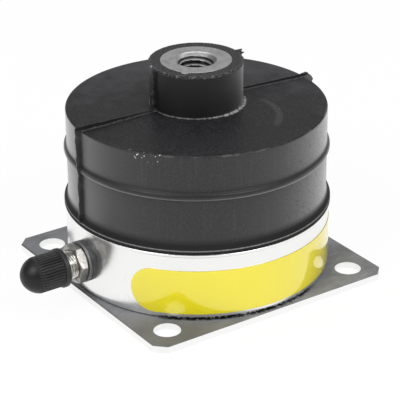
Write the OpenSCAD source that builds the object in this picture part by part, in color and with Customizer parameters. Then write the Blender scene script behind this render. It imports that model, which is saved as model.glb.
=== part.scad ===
// Pneumatic anti-vibration mount: a square bolted base with a drawn steel housing,
// a hollow moulded rubber drum on top of it, a threaded hub moulded into the drum's boss,
// and an inflation valve in the housing's side. Millimetres.
// The origin is the centre of the base plate's underside, and +Z is the hub's axis.
// The valve points along -X. The rubber's mould parts along the XZ plane.

/* [Base plate] */
// Width of the base plate beyond the housing on each side
plate_rim = 1.2; // [0.6:0.1:4]
// Thickness of the base plate
plate_t = 2; // [1.5:0.1:4]
// Leg of the cut corners of the base plate
corner_cut = 3; // [0.5:0.1:5]
// Diameter of a bolt hole
bolt_hole_d = 7.4; // [5:0.1:8.4]
// Distance from a bolt hole's centre to the two nearest plate edges
bolt_hole_edge = 7.65; // [6:0.05:8.5]

/* [Housing] */
// Outer diameter of the housing cup
cup_d = 73.8; // [68:0.2:90]
// Sheet thickness of the housing cup
cup_wall = 1.5; // [1:0.1:2.2]
// Height of the housing cup above the base plate
cup_h = 18.7; // [18:0.1:26]
// Outside radius of the cup's bottom corner
cup_corner_r = 0.5; // [0.3:0.1:3.5]
// Inside radius of the cup's bottom corner
cup_inner_r = 0.8; // [0.2:0.1:2]

/* [Bonded ring and damping plate] */
// Sheet thickness of the ring bonded into the rubber's foot
ring_t = 0.8; // [0.5:0.1:1.5]
// How far the ring and the rubber lip stand out past the housing
lip_over = 0.4; // [0.2:0.1:1.5]
// Height of the ring's upright wall inside the rubber
ring_h = 10; // [4:0.5:14]
// Sheet thickness of the damping plate
damper_t = 0.8; // [0.5:0.1:1.5]
// Height of the damping plate's raised middle above its rim
damper_raise = 2; // [0.5:0.1:4]
// Diameter of the air restrictor hole in the damping plate
orifice_d = 1.4; // [0.8:0.1:3]
// Distance of the restrictor hole from the axis
orifice_offset = 18; // [15:0.5:21]

/* [Rubber drum] */
// Height of the drum from its foot to its flat top
drum_h = 27.9; // [24:0.1:36]
// Setback of the drum's side from the edge of the foot lip
side_setback = 1.2; // [0.6:0.1:2]
// Thickness of the foot lip's upright edge
lip_t = 1.1; // [0.6:0.1:2.5]
// Height of the flare between the lip and the drum's side
flare_h = 3; // [2:0.1:5]
// Height of the bead's centre above the foot
bead_z = 16.5; // [10:0.1:20]
// Radius of the bead's round section
bead_r = 1.1; // [0.6:0.1:1.8]
// How far the bead stands out from the drum's side
bead_out = 0.8; // [0.3:0.1:1]
// Radius of the drum's top edge
rim_r = 0.5; // [0.3:0.1:3]
// Wall thickness of the drum's side
side_wall = 6.6; // [5:0.1:9]
// Thickness of the drum's crown
crown_t = 8.4; // [7:0.1:12]
// Inside radius between the drum's wall and its crown
chamber_fillet = 5; // [1:0.5:8]
// Height of the mould parting fin on the drum's side and at its rim
fin_h = 1.4; // [0.2:0.1:1.6]
// Height of the mould parting fin on the boss and at its foot
fin_boss_h = 0.6; // [0.2:0.1:1]
// Thickness of the mould parting fin
fin_t = 0.5; // [0.3:0.1:1]

/* [Boss and threaded hub] */
// Diameter of the rubber boss
boss_d = 25.7; // [22:0.1:34]
// Height of the boss above the drum's flat top
boss_h = 12.8; // [8:0.1:20]
// Radius of the boss's top edge and of the fillet at its foot
boss_edge_r = 0.5; // [0.2:0.1:1.5]
// Diameter of the threaded hub's body
hub_d = 19.6; // [16:0.1:21]
// Diameter of the hub's flange
hub_flange_d = 42; // [30:0.5:50]
// Thickness of the hub's flange
hub_flange_t = 2.5; // [1.5:0.1:3]
// Thickness of the rubber under the hub
hub_cover = 2; // [1:0.1:2.4]
// Radius between the hub's body and its flange
hub_fillet = 1.5; // [0.5:0.1:2.5]
// Wall diameter of the tapped hole, an M10 coarse thread's core
tap_d = 8.5; // [6:0.1:10.5]
// Depth of the tapped hole
tap_depth = 15; // [8:0.1:15.5]
// Diameter of the countersink at the hole's mouth
countersink_d = 11.8; // [11:0.1:14]

/* [Bump stop] */
// Diameter of the bump stop at its foot
stop_d = 22; // [16:0.5:26]
// Diameter of the bump stop at its top
stop_top_d = 16; // [10:0.5:16]
// Height of the bump stop above the damping plate
stop_h = 12; // [6:0.1:16]
// Diameter of the plug that holds the bump stop in the damping plate
stop_plug_d = 5.8; // [4:0.1:8]

/* [Label] */
// Height of the label
label_h = 12.9; // [6:0.1:13.5]
// Gap between the base plate and the label's lower edge
label_z = 1.6; // [1.2:0.1:3]
// Angle that the label wraps round the housing
label_angle = 126; // [40:1:140]
// Direction of the label's middle, in degrees from +X
label_facing = 270; // [250:1:290]
// Thickness of the label
label_t = 0.15; // [0.1:0.05:0.3]

/* [Valve] */
// Height of the valve's axis above the base plate
valve_z = 9.8; // [9:0.1:12]
// Thread diameter of the valve stem
stem_d = 7.74; // [7:0.02:8.4]
// Diameter of the stem's head inside the housing
stem_head_d = 12.4; // [11:0.1:14]
// Thickness of the stem's head
stem_head_t = 1.8; // [1:0.1:3]
// Thickness of the inner seal at its middle
inner_seal_t = 2.2; // [1.8:0.1:4]
// Diameter of the outer grommet
grommet_d = 11.4; // [10.8:0.1:13]
// Thickness of the outer grommet at its middle
grommet_t = 1.3; // [1:0.1:3]
// Diameter of the grommet's spigot in the housing's hole
spigot_d = 9.4; // [9.2:0.1:10.4]
// Diameter of the steel washer
washer_d = 11.6; // [10.8:0.1:14]
// Thickness of the steel washer
washer_t = 0.8; // [0.5:0.1:2]
// Width of the nut across its flats
nut_af = 10; // [9.8:0.1:13]
// Thickness of the nut
nut_t = 2.6; // [2:0.1:5]
// Angle that the nut was left at
nut_turn = 37.6; // [0:0.1:60]
// Gap between the nut's face and the mouth of the cap
cap_gap = 2.8; // [0.5:0.1:4]
// Length of the stem inside the cap
stem_in_cap = 8.3; // [8:0.1:10]

/* [Valve core] */
// Diameter of the core's threaded plug
core_d = 5; // [4.6:0.05:5.2]
// Length of the core's threaded plug
core_plug_l = 3.6; // [3:0.1:4]
// Depth of the core's end below the stem's end
core_recess = 0.6; // [0.3:0.1:1]
// Outer diameter of the core's barrel
core_barrel_d = 3.4; // [3:0.1:3.6]
// Length of the core's barrel behind the plug
core_barrel_l = 8.5; // [8:0.1:10]
// Length of the tapered sealing sleeve
core_sleeve_l = 1.6; // [1:0.1:2]
// Diameter of the core's pin
core_pin_d = 0.9; // [0.7:0.05:1]
// Travel of the pin
core_travel = 1; // [0.5:0.1:1.5]
// Wire diameter of the core's spring
spring_wire_d = 0.24; // [0.16:0.02:0.3]
// Number of turns of the core's spring
spring_turns = 8; // [4:1:9]

/* [Valve cap] */
// Diameter of the cap's collar
cap_collar_d = 11; // [10.6:0.1:12.5]
// Length of the cap's collar
cap_collar_l = 1.6; // [1:0.1:2.5]
// Diameter of the cap over its ribs
cap_d = 10.1; // [9.9:0.1:10.5]
// Depth of the grooves between the cap's ribs
cap_rib_depth = 0.26; // [0.1:0.02:0.3]
// Number of ribs round the cap
cap_ribs = 40; // [12:1:48]
// Length of the cap
cap_l = 12.5; // [12.3:0.1:15]
// Thickness of the seal in the cap
cap_seal_t = 0.7; // [0.5:0.1:1]

/* [Fits] */
// Clearance between two pieces that are clamped or pressed together
seat_gap = 0.03; // [0.02:0.01:0.06]
// Clearance round a piece that turns or slides
run_gap = 0.08; // [0.05:0.01:0.1]

/* [Hidden] */
$fn = 96;
eps = 0.01;
end_lap = 0.02;
arc_steps = 8;

plate_top = plate_t;
cup_r = cup_d / 2;
cup_ri = cup_r - cup_wall;
plate_side = cup_d + 2 * plate_rim;
hole_at = plate_side / 2 - bolt_hole_edge;

cup_top = plate_top + cup_h;
lip_r = cup_r + lip_over;
foot_z = cup_top + ring_t;
lip_z = foot_z + lip_t;
side_r = lip_r - side_setback;
chamber_r = side_r - side_wall;

ring_wall_r = (chamber_r + side_r) / 2;
ring_ri = ring_wall_r;
ring_ro = ring_wall_r + ring_t;

damper_r = cup_ri - 0.2;
damper_low = cup_top - damper_t;
damper_flat_r = chamber_r - 2.5;
damper_hat_r = damper_flat_r - damper_raise;
stop_seat_z = cup_top + damper_raise;

drum_top = foot_z + drum_h;
crown_z = drum_top - crown_t;
boss_top = drum_top + boss_h;
boss_r = boss_d / 2;
hub_r = hub_d / 2;
hub_low = crown_z + hub_cover;
tap_r = tap_d / 2;
tap_low = boss_top - tap_depth;
sink_r = countersink_d / 2;
sink_depth = sink_r - tap_r;
drill_point_h = tap_r / tan(59);

valve_axis_z = plate_top + valve_z;
stem_r = stem_d / 2;
head_u = cup_ri - inner_seal_t;
stem_start_u = head_u - stem_head_t;
grommet_face_u = cup_r + grommet_t;
washer_face_u = grommet_face_u + washer_t;
nut_face_u = washer_face_u + nut_t;
cap_u = nut_face_u + cap_gap;
stem_tip_u = cap_u + stem_in_cap;
spigot_r = spigot_d / 2;

core_top_u = stem_tip_u - core_recess;
core_key_l = 1;
core_key_w = 1.5;
core_plug_u = core_top_u - core_plug_l;
core_seat_u = core_plug_u - core_barrel_l;
core_barrel_r = core_barrel_d / 2;
core_sleeve_r = core_barrel_r + 0.5;
core_wall = 0.5;
core_end_t = 0.6;
core_bore_r = core_barrel_r - core_wall;
pin_r = core_pin_d / 2;
pin_hole_r = pin_r + run_gap;
pin_collar_r = core_bore_r - run_gap;
pin_collar_t = 0.5;
seal_t = 0.7;
holder_t = 0.35;
seal_r = core_barrel_r - 0.15;
spring_low_u = core_seat_u + core_end_t;
spring_high_u = core_plug_u - 0.8;
stem_small_r = 1.7;
stem_core_r = core_barrel_r + 0.35;
pin_room_u = core_seat_u - seal_t - holder_t - core_travel - 1;

cap_bore_r = stem_r + run_gap;
cap_bore_l = stem_in_cap + run_gap + cap_seal_t;
cap_r = cap_d / 2;
cap_root_r = cap_r - cap_rib_depth;
cap_dome_u = cap_l - cap_root_r;

// Points along an arc about (x, y), from angle a0 to angle a1
function arc(x, y, r, a0, a1) =
    [for (i = [0 : arc_steps]) let (a = a0 + (a1 - a0) * i / arc_steps) [x + r * cos(a), y + r * sin(a)]];

// Lathe a list of [radius, height] points about the Z axis
module lathe(points) {
    rotate_extrude() polygon(points);
}

// A tube or rod from height z0 to z1
module rod(r, z0, z1) {
    translate([0, 0, z0]) cylinder(r = r, h = z1 - z0);
}

// Carries what is drawn along +Z to the valve's axis, which points along -X
module on_valve_axis() {
    translate([0, 0, valve_axis_z]) rotate([0, -90, 0]) children();
}

module base_plate() {
    h = plate_side / 2;
    c = corner_cut;
    color("#8b8e90")
    difference() {
        linear_extrude(plate_t)
            polygon([[c - h, -h], [h - c, -h], [h, c - h], [h, h - c], [h - c, h], [c - h, h], [-h, h - c], [-h, c - h]]);
        for (x = [-hole_at, hole_at], y = [-hole_at, hole_at])
            translate([x, y, -eps]) cylinder(d = bolt_hole_d, h = plate_t + 2 * eps);
    }
}

// The drawn cup stands on the plate, and the valve's spigot fills the hole in its wall
module housing_cup() {
    r = cup_corner_r;
    ri = cup_inner_r;
    color("#c9ccce")
    difference() {
        lathe(concat(
            [[0, plate_top]],
            arc(cup_r - r, plate_top + r, r, -90, 0),
            [[cup_r, cup_top], [cup_ri, cup_top]],
            arc(cup_ri - ri, plate_top + cup_wall + ri, ri, 0, -90),
            [[0, plate_top + cup_wall]]
        ));
        on_valve_axis() rod(spigot_r + seat_gap, cup_ri - cup_wall, cup_r + cup_wall);
    }
}

// Pressed disc between the two air chambers, welded under the ring's flange
module damping_plate() {
    plug_hole_r = stop_plug_d / 2 + seat_gap;
    color("#a9adb0")
    difference() {
        lathe([
            [0, damper_low + damper_raise],
            [damper_hat_r, damper_low + damper_raise],
            [damper_flat_r, damper_low],
            [damper_r, damper_low],
            [damper_r, cup_top],
            [damper_flat_r, cup_top],
            [damper_hat_r, stop_seat_z],
            [0, stop_seat_z]
        ]);
        rod(plug_hole_r, damper_low, stop_seat_z + 1);
        translate([0, orifice_offset, 0]) rod(orifice_d / 2, damper_low, stop_seat_z + 1);
    }
}

// Angle-section ring: its flange lies on the cup's mouth, its wall stands in the rubber
module bond_ring() {
    color("#b4b8ba")
    lathe([
        [ring_ri, cup_top],
        [lip_r, cup_top],
        [lip_r, foot_z],
        [ring_ro, foot_z],
        [ring_ro, foot_z + ring_h],
        [ring_ri, foot_z + ring_h]
    ]);
}

// Outside of the drum and boss: lip, flare, side with its bead, flat top, boss
function drum_outline() =
    let (
        e = boss_edge_r,
        step = side_setback,
        flare_r = (step * step + flare_h * flare_h) / (2 * step),
        flare_a = asin(flare_h / flare_r),
        bead_x = side_r + bead_out - bead_r,
        bead_a = acos((bead_r - bead_out) / bead_r)
    )
    concat(
        [[lip_r, foot_z]],
        arc(side_r + flare_r, lip_z + flare_h, flare_r, 180 + flare_a, 180),
        arc(bead_x, foot_z + bead_z, bead_r, -bead_a, bead_a),
        arc(side_r - rim_r, drum_top - rim_r, rim_r, 0, 90),
        arc(boss_r + e, drum_top + e, e, 270, 180),
        arc(boss_r - e, boss_top - e, e, 0, 90)
    );

// Flash fin left at the mould's parting line: up the side, falling across the top and up the boss
module parting_fin() {
    side = side_r + fin_h;
    rim_z = drum_top + fin_h;
    boss = boss_r + fin_boss_h;
    boss_foot_z = drum_top + fin_boss_h;
    intersection() {
        lathe(concat(
            [[chamber_r + 1, lip_z], [lip_r, lip_z], [side, lip_z + flare_h]],
            arc(side - rim_r, rim_z - rim_r, rim_r, 0, 90),
            arc(boss + boss_edge_r, boss_foot_z + boss_edge_r, boss_edge_r, 270, 180),
            [[boss, boss_top - fin_boss_h], [boss_r - boss_edge_r, boss_top - boss_edge_r]],
            [[hub_r + 1, boss_top - 1], [hub_r + 1, drum_top - 1], [chamber_r + 1, drum_top - 1]]
        ));
        translate([-2 * cup_r, -fin_t / 2, foot_z]) cube([4 * cup_r, fin_t, boss_top]);
    }
}

// Body of the hub without its hole, also used to cut its bed in the rubber
module hub_solid() {
    f = hub_fillet;
    flange_r = hub_flange_d / 2;
    flange_top = hub_low + hub_flange_t;
    lathe(concat(
        [[0, hub_low]],
        arc(flange_r - 0.6, hub_low + 0.6, 0.6, -90, 0),
        arc(flange_r - 0.6, flange_top - 0.6, 0.6, 0, 90),
        arc(hub_r + f, flange_top + f, f, 270, 180),
        [[hub_r, boss_top], [0, boss_top]]
    ));
}

// Hollow drum moulded round the hub's flange and the ring's wall
module rubber_body() {
    cf = chamber_fillet;
    color("#2f3032")
    difference() {
        union() {
            lathe(concat(
                [[chamber_r, cup_top], [ring_ri, cup_top], [ring_ri, foot_z]],
                drum_outline(),
                [[0, boss_top], [0, crown_z]],
                arc(chamber_r - cf, crown_z - cf, cf, 90, 0)
            ));
            parting_fin();
        }
        hub_solid();
        rod(hub_r, hub_low, boss_top + 1);
        difference() {
            rod(ring_ro, foot_z - 1, foot_z + ring_h);
            rod(ring_ri, foot_z - 2, foot_z + ring_h + 1);
        }
    }
}

// Flanged hub with a blind tapped hole and a countersunk mouth
module threaded_hub() {
    color("#9a9da0")
    difference() {
        hub_solid();
        rod(tap_r, tap_low, boss_top + eps);
        lathe([[0, tap_low - drill_point_h], [tap_r, tap_low], [0, tap_low + eps]]);
        lathe([[0, boss_top - sink_depth - eps], [tap_r, boss_top - sink_depth], [sink_r, boss_top], [sink_r, boss_top + 1], [0, boss_top + 1]]);
    }
}

// Rubber stop that the crown lands on when the mount is overloaded or flat
module bump_stop() {
    r0 = stop_d / 2;
    r1 = stop_top_d / 2;
    pr = stop_plug_d / 2;
    barb_r = pr + 1.1;
    under = damper_low + damper_raise - seat_gap;
    low = stop_seat_z + seat_gap;
    color("#1f2021")
    lathe(concat(
        [[0, under - 2.4], [pr - 0.6, under - 2.4], [barb_r, under - 0.8], [barb_r, under], [pr, under], [pr, low]],
        [[r0, low], [r0, low + 2.5]],
        arc(r1 - 2, low + stop_h - 2, 2, 10, 90),
        [[0, low + stop_h]]
    ));
}

// Self-adhesive strip with full round ends, wrapped round the cup
module label() {
    r0 = cup_r + seat_gap;
    r1 = r0 + label_t;
    end_r = label_h / 2;
    end_a = end_r / cup_r * 180 / PI;
    mid_z = plate_top + label_z + end_r;
    color("#f2df3a")
    intersection() {
        difference() {
            rod(r1, plate_top, cup_top);
            rod(r0, plate_top - 1, cup_top + 1);
        }
        union() {
            translate([0, 0, mid_z - end_r]) rotate([0, 0, label_facing - label_angle / 2 + end_a])
                rotate_extrude(angle = label_angle - 2 * end_a) translate([cup_r - 1, 0]) square([3, label_h]);
            for (s = [-1, 1])
                translate([0, 0, mid_z]) rotate([0, 0, label_facing + s * (label_angle / 2 - end_a)])
                    rotate([0, 90, 0]) rod(end_r + end_lap, cup_r - 2, cup_r + 2);
        }
    }
}

// Headed stem with a stepped bore for the core
module valve_stem() {
    hr = stem_head_d / 2;
    color("#b9ab86")
    on_valve_axis()
    difference() {
        lathe([
            [0, stem_start_u], [hr - 0.4, stem_start_u], [hr, stem_start_u + 0.4], [hr, head_u - seat_gap],
            [stem_r, head_u - seat_gap], [stem_r, stem_tip_u - 0.4], [stem_r - 0.4, stem_tip_u], [0, stem_tip_u]
        ]);
        lathe([
            [0, stem_start_u - 1], [stem_small_r, stem_start_u - 1], [stem_small_r, pin_room_u - 0.3],
            [stem_core_r, pin_room_u], [stem_core_r, core_plug_u - core_sleeve_l - 0.3],
            [core_sleeve_r + seat_gap, core_plug_u - core_sleeve_l], [core_d / 2 + seat_gap, core_plug_u],
            [core_d / 2 + seat_gap, stem_tip_u + 1], [0, stem_tip_u + 1]
        ]);
    }
}

// Rubber washer between the stem's head and the cup's curved inner wall
module inner_seal() {
    color("#26272a")
    difference() {
        intersection() {
            on_valve_axis() rod(stem_head_d / 2, head_u, cup_ri + 1);
            rod(cup_ri, 0, cup_top);
        }
        on_valve_axis() rod(spigot_r + seat_gap, spigot_end_u() - seat_gap, cup_ri + 2);
        on_valve_axis() rod(stem_r + seat_gap, head_u - 1, cup_ri + 2);
    }
}

// Where the grommet's spigot ends, flush with the cup's inner wall at its edge
function spigot_end_u() = sqrt(cup_ri * cup_ri - spigot_r * spigot_r);

// Rubber grommet outside the cup, with a spigot in the cup's hole
module outer_grommet() {
    color("#2b2c2e")
    difference() {
        union() {
            difference() {
                on_valve_axis() rod(grommet_d / 2, cup_ri, grommet_face_u);
                rod(cup_r, 0, cup_top);
            }
            on_valve_axis() rod(spigot_r, spigot_end_u(), grommet_face_u);
        }
        on_valve_axis() rod(stem_r + seat_gap, cup_ri - 2, grommet_face_u + 1);
    }
}

module valve_washer() {
    color("#8f9294")
    on_valve_axis()
    difference() {
        rod(washer_d / 2, grommet_face_u + seat_gap, washer_face_u);
        rod(stem_r + seat_gap, grommet_face_u - 1, washer_face_u + 1);
    }
}

// Hexagonal nut with both faces chamfered
module valve_nut() {
    low = washer_face_u + seat_gap;
    high = nut_face_u;
    corner_r = nut_af / sqrt(3);
    face_r = nut_af / 2 - 0.1;
    wide_r = corner_r + 0.5;
    drop = (wide_r - face_r) * tan(30);
    color("#c8c5b8")
    on_valve_axis()
    difference() {
        intersection() {
            translate([0, 0, low]) rotate([0, 0, nut_turn]) cylinder(r = corner_r, h = high - low, $fn = 6);
            lathe([[0, low], [face_r, low], [wide_r, low + drop], [wide_r, high - drop], [face_r, high], [0, high]]);
        }
        rod(stem_r + seat_gap, low - 1, high + 1);
    }
}

// Core body: threaded plug with a key for the tool, neck and hollow barrel
module core_body() {
    r = core_d / 2;
    color("#c9a94f")
    on_valve_axis()
    difference() {
        lathe([
            [0, core_seat_u], [core_barrel_r, core_seat_u], [core_barrel_r, core_plug_u],
            [r, core_plug_u], [r, core_top_u], [0, core_top_u]
        ]);
        for (s = [-1, 1])
            translate([s * (core_key_w / 2 + r), 0, core_top_u - core_key_l / 2 + 1])
                cube([2 * r, 3 * r, core_key_l + 2], center = true);
        rod(core_bore_r, spring_low_u, spring_high_u + pin_collar_t + run_gap);
        rod(pin_hole_r, core_seat_u - 1, core_top_u + 1);
        for (s = [-1, 1])
            translate([s * (pin_r + 0.35), 0, 0]) rod(0.25, core_seat_u - 1, core_top_u + 1);
    }
}

// Tapered sleeve round the core's neck, which seals it in the stem
module core_sleeve() {
    r = core_barrel_r + seat_gap;
    color("#e6e3da")
    on_valve_axis()
    lathe([
        [r, core_plug_u - core_sleeve_l], [core_sleeve_r, core_plug_u - core_sleeve_l],
        [core_d / 2, core_plug_u - seat_gap], [r, core_plug_u - seat_gap]
    ]);
}

// Pin with the spring's collar near its outer end and the seal's holder at its inner end
module core_pin() {
    hold_high = core_seat_u - seat_gap - seal_t;
    hold_low = hold_high - holder_t;
    color("#b5b8ba")
    on_valve_axis()
    lathe([
        [0, hold_low - 0.5], [pin_r, hold_low - 0.5], [pin_r, hold_low], [seal_r, hold_low], [seal_r, hold_high],
        [pin_r, hold_high], [pin_r, spring_high_u], [pin_collar_r, spring_high_u],
        [pin_collar_r, spring_high_u + pin_collar_t], [pin_r, spring_high_u + pin_collar_t],
        [pin_r, core_top_u + 0.2], [pin_r - 0.15, core_top_u + 0.35], [0, core_top_u + 0.35]
    ]);
}

module core_seal() {
    low = core_seat_u - seat_gap - seal_t + 0.01;
    color("#1c1d1e")
    on_valve_axis()
    difference() {
        rod(seal_r, low, core_seat_u - seat_gap);
        rod(pin_r + 0.01, low - 1, core_seat_u + 1);
    }
}

// Compression spring between the barrel's end and the pin's collar
module core_spring() {
    wire_r = spring_wire_d / 2;
    turn_r = (pin_r + core_bore_r) / 2;
    rise = spring_high_u - spring_low_u - spring_wire_d - 2 * seat_gap;
    low = spring_low_u + wire_r + seat_gap;
    sides = 6;
    per_turn = 14;
    rings = spring_turns * per_turn;
    points = [
        for (i = [0 : rings], j = [0 : sides - 1])
            let (a = 360 * i / per_turn, b = 360 * j / sides, r = turn_r + wire_r * cos(b))
            [r * cos(a), r * sin(a), low + rise * i / rings + wire_r * sin(b)]
    ];
    walls = [
        for (i = [0 : rings - 1], j = [0 : sides - 1])
            let (k = (j + 1) % sides)
            [i * sides + j, i * sides + k, (i + 1) * sides + k, (i + 1) * sides + j]
    ];
    first = [for (j = [sides - 1 : -1 : 0]) j];
    last = [for (j = [0 : sides - 1]) rings * sides + j];
    color("#c7cacc")
    on_valve_axis() polyhedron(points = points, faces = concat(walls, [first], [last]));
}

// Rubber disc at the bottom of the cap's bore
module cap_seal() {
    low = stem_tip_u + run_gap;
    color("#202122")
    on_valve_axis() rod(cap_bore_r - run_gap, low, low + cap_seal_t - run_gap);
}

// Moulded cap: plain collar, ribbed barrel and round end
module valve_cap() {
    collar_r = cap_collar_d / 2;
    step = 180 / cap_ribs;
    ribbed = [
        for (i = [0 : 2 * cap_ribs - 1]) let (r = i % 2 == 0 ? cap_r : cap_root_r - cap_rib_depth / 2)
            [r * cos(i * step), r * sin(i * step)]
    ];
    color("#1d1e20")
    on_valve_axis() translate([0, 0, cap_u])
    difference() {
        union() {
            lathe(concat(
                [[0, 0], [collar_r - 0.3, 0], [collar_r, 0.3], [collar_r, cap_collar_l - 0.4]],
                [[cap_root_r, cap_collar_l]],
                arc(0, cap_dome_u, cap_root_r, 0, 90)
            ));
            intersection() {
                translate([0, 0, cap_collar_l / 2]) linear_extrude(cap_dome_u + 1) polygon(ribbed);
                lathe(concat([[0, 0], [cap_r + 0.1, 0]], arc(0, cap_dome_u - 1, cap_r + 0.1, 0, 90)));
            }
        }
        rod(cap_bore_r, 0.6, cap_bore_l);
        lathe([[0, -1], [cap_bore_r + 0.6, -1], [cap_bore_r + 0.6, 0], [cap_bore_r, 0.6], [cap_bore_r, 0.7], [0, 0.7]]);
    }
}

base_plate();
housing_cup();
damping_plate();
bond_ring();
rubber_body();
threaded_hub();
bump_stop();
label();
valve_stem();
inner_seal();
outer_grommet();
valve_washer();
valve_nut();
core_body();
core_sleeve();
core_pin();
core_seal();
core_spring();
cap_seal();
valve_cap();
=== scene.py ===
"""Looks of a pneumatic anti-vibration mount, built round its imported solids.

A drawn cup on a bolted plate carries a hollow moulded rubber drum. A threaded hub is moulded into
the drum's boss, and an inflation valve with a ribbed cap stands out of the cup's side along -X.
Shapes are worked out in millimetres and put into their meshes in metres.
"""

import logging
import math
from dataclasses import dataclass, field
from enum import Enum
from functools import cached_property

import bmesh
import bpy
import numpy as np
from mathutils import Matrix, Vector


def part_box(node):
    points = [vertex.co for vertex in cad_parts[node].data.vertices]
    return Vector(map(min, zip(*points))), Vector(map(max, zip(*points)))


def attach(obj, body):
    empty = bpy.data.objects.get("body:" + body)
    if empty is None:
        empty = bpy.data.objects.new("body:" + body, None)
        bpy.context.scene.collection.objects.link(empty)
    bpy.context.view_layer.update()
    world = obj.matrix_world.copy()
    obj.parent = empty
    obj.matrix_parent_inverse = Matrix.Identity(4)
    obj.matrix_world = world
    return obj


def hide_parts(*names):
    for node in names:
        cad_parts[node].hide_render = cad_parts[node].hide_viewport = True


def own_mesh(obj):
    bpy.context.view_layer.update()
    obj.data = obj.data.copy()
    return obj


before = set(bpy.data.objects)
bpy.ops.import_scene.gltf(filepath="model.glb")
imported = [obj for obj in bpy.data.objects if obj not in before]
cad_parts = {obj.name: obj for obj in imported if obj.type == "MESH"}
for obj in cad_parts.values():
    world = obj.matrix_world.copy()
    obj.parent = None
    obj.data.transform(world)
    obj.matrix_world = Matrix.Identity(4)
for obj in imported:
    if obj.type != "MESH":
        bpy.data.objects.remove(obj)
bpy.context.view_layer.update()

LOG = logging.getLogger("mount")
MM = 0.001
MERGE_GAP = 1e-6
CREASE = 35.0
FULL_TURN = 2 * math.pi

# Directions over the floor to the photograph's right and back, by which wear, painted sheen and painted shade
# are placed
PHOTO_TURN = -33.981
RIGHTWARDS = (math.cos(math.radians(PHOTO_TURN)), math.sin(math.radians(PHOTO_TURN)))
BACKWARDS = (-RIGHTWARDS[1], RIGHTWARDS[0])

# Where the torn gap of dark sealant and painted shade at the cup's foot begins and ends, to the right of the
# mount's axis
TORN_FOOT = ((-14.0, -7.0), (29.0, 33.0))

Array = np.ndarray
Number = "Wire | float"


class Body(Enum):
    """Bodies that a piece can ride on."""

    HOUSING = "housing"
    PIN = "core_pin"
    CAP_SEAL = "cap_seal"
    CAP = "valve_cap"


class Side(Enum):
    """Which way the faces of a new surface are made to point."""

    OUTWARD = "recalculated on a closed shell"
    AS_MADE = "left as the grid gives them"


# Shapes


def spread(node: str) -> tuple[Array, Array]:
    """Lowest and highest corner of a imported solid, in millimetres."""
    low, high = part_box(node)
    return np.array(low) / MM, np.array(high) / MM


def unit(vectors: Array) -> Array:
    """Vectors divided by their own length, with zero left as zero."""
    length = np.linalg.norm(vectors, axis=-1, keepdims=True)
    return vectors / np.where(length < 1e-12, 1, length)


def smooth(value: Array, low: float, high: float) -> Array:
    """Share from 0 to 1 between low and high, as 3 t squared minus 2 t cubed."""
    t = np.clip((value - low) / (high - low), 0, 1)
    return t * t * (3 - 2 * t)


def band(value: Array, rise: tuple[float, float], fall: tuple[float, float]) -> Array:
    """Share that grows smoothly from 0 to 1 over one stretch and goes back over a later one."""
    return smooth(value, *rise) * (1 - smooth(value, *fall))


def ragged(along: Array, seed: float, longest: float = 5.0) -> Array:
    """Irregular value from about -1 to 1 along a torn edge.

    It is the mean of five sines whose wavelengths shrink by about 1.7 from the longest one and
    whose phases differ, so it never repeats over the length of an edge.

    Args:
        along: Distance along the edge, in millimetres.
        seed: Shifts the phases, so that two edges differ.
        longest: Longest wavelength, in millimetres.

    Returns:
        One value for each distance.
    """
    step = np.arange(5)
    waves = longest / 1.73**step
    phases = seed * 1.9 + step * 2.4
    strengths = 1 / (1 + 0.5 * step)
    parts = strengths * np.sin(FULL_TURN * along[..., None] / waves + phases)
    return parts.sum(-1) / strengths.sum() * 1.6


def rounded(corners: list[tuple[float, float, float]], steps: int = 6) -> Array:
    """Open outline through corners that have radii.

    With unit vectors a and b from a corner to its neighbours and h half the angle between them,
    the corner's arc starts radius / tan(h) along a, ends as far along b, and its centre is
    radius / sin(h) along a + b. Its points turn evenly from one end to the other.

    Args:
        corners: A first and a second coordinate and a radius for each corner.
        steps: Stretches that an arc is divided into.

    Returns:
        The outline's points, two coordinates each.
    """
    table = np.array(corners, float)
    point, radius = table[:, :2], table[:, 2:]
    before = np.vstack([2 * point[:1] - point[1:2], point[:-1]])
    after = np.vstack([point[1:], 2 * point[-1:] - point[-2:-1]])
    a, b = unit(before - point), unit(after - point)
    half = np.arccos(np.clip((a * b).sum(1, keepdims=True), -1, 1)) / 2
    cut = np.where(radius > 0, radius / np.tan(half), 0)
    middle = point + unit(a + b) * radius / np.sin(half)
    turn = np.pi - 2 * half
    share = np.linspace(0, 1, steps + 1)
    weight_a = np.sin((1 - share) * turn) / np.maximum(np.sin(turn), 1e-9)
    weight_b = np.sin(share * turn) / np.maximum(np.sin(turn), 1e-9)
    start, end = point + a * cut - middle, point + b * cut - middle
    from_middle = weight_a[..., None] * start[:, None] + weight_b[..., None] * end[:, None]
    path = np.where(radius[:, None] > 0, middle[:, None] + from_middle, point[:, None]).reshape(-1, 2)
    kept = np.r_[True, np.linalg.norm(np.diff(path, axis=0), axis=1) > 1e-6]
    return path[kept]


def finer(path: Array, step: float) -> Array:
    """The same outline with each stretch divided evenly, so that none is longer than a step.

    Args:
        path: Points, two coordinates each.
        step: Longest stretch that is allowed.

    Returns:
        The outline's old and new points in order.
    """
    gaps = np.diff(path, axis=0)
    counts = np.maximum(1, np.ceil(np.linalg.norm(gaps, axis=1) / step)).astype(int)
    stretch = np.repeat(np.arange(len(gaps)), counts)
    rank = np.arange(counts.sum()) - np.repeat(np.cumsum(counts) - counts, counts)
    share = rank / counts[stretch]
    return np.vstack([path[:-1][stretch] + gaps[stretch] * share[:, None], path[-1:]])


def arc(centre: tuple[float, float], radius: float, first: float, last: float, steps: int = 8) -> Array:
    """Points on a circle's arc from one angle to another, in degrees."""
    angle = np.radians(np.linspace(first, last, steps + 1))
    return np.array(centre) + radius * np.stack([np.cos(angle), np.sin(angle)], -1)


def full_circle(count: int) -> Array:
    """Angles in radians that divide a turn evenly."""
    return np.arange(count) * FULL_TURN / count


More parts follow.
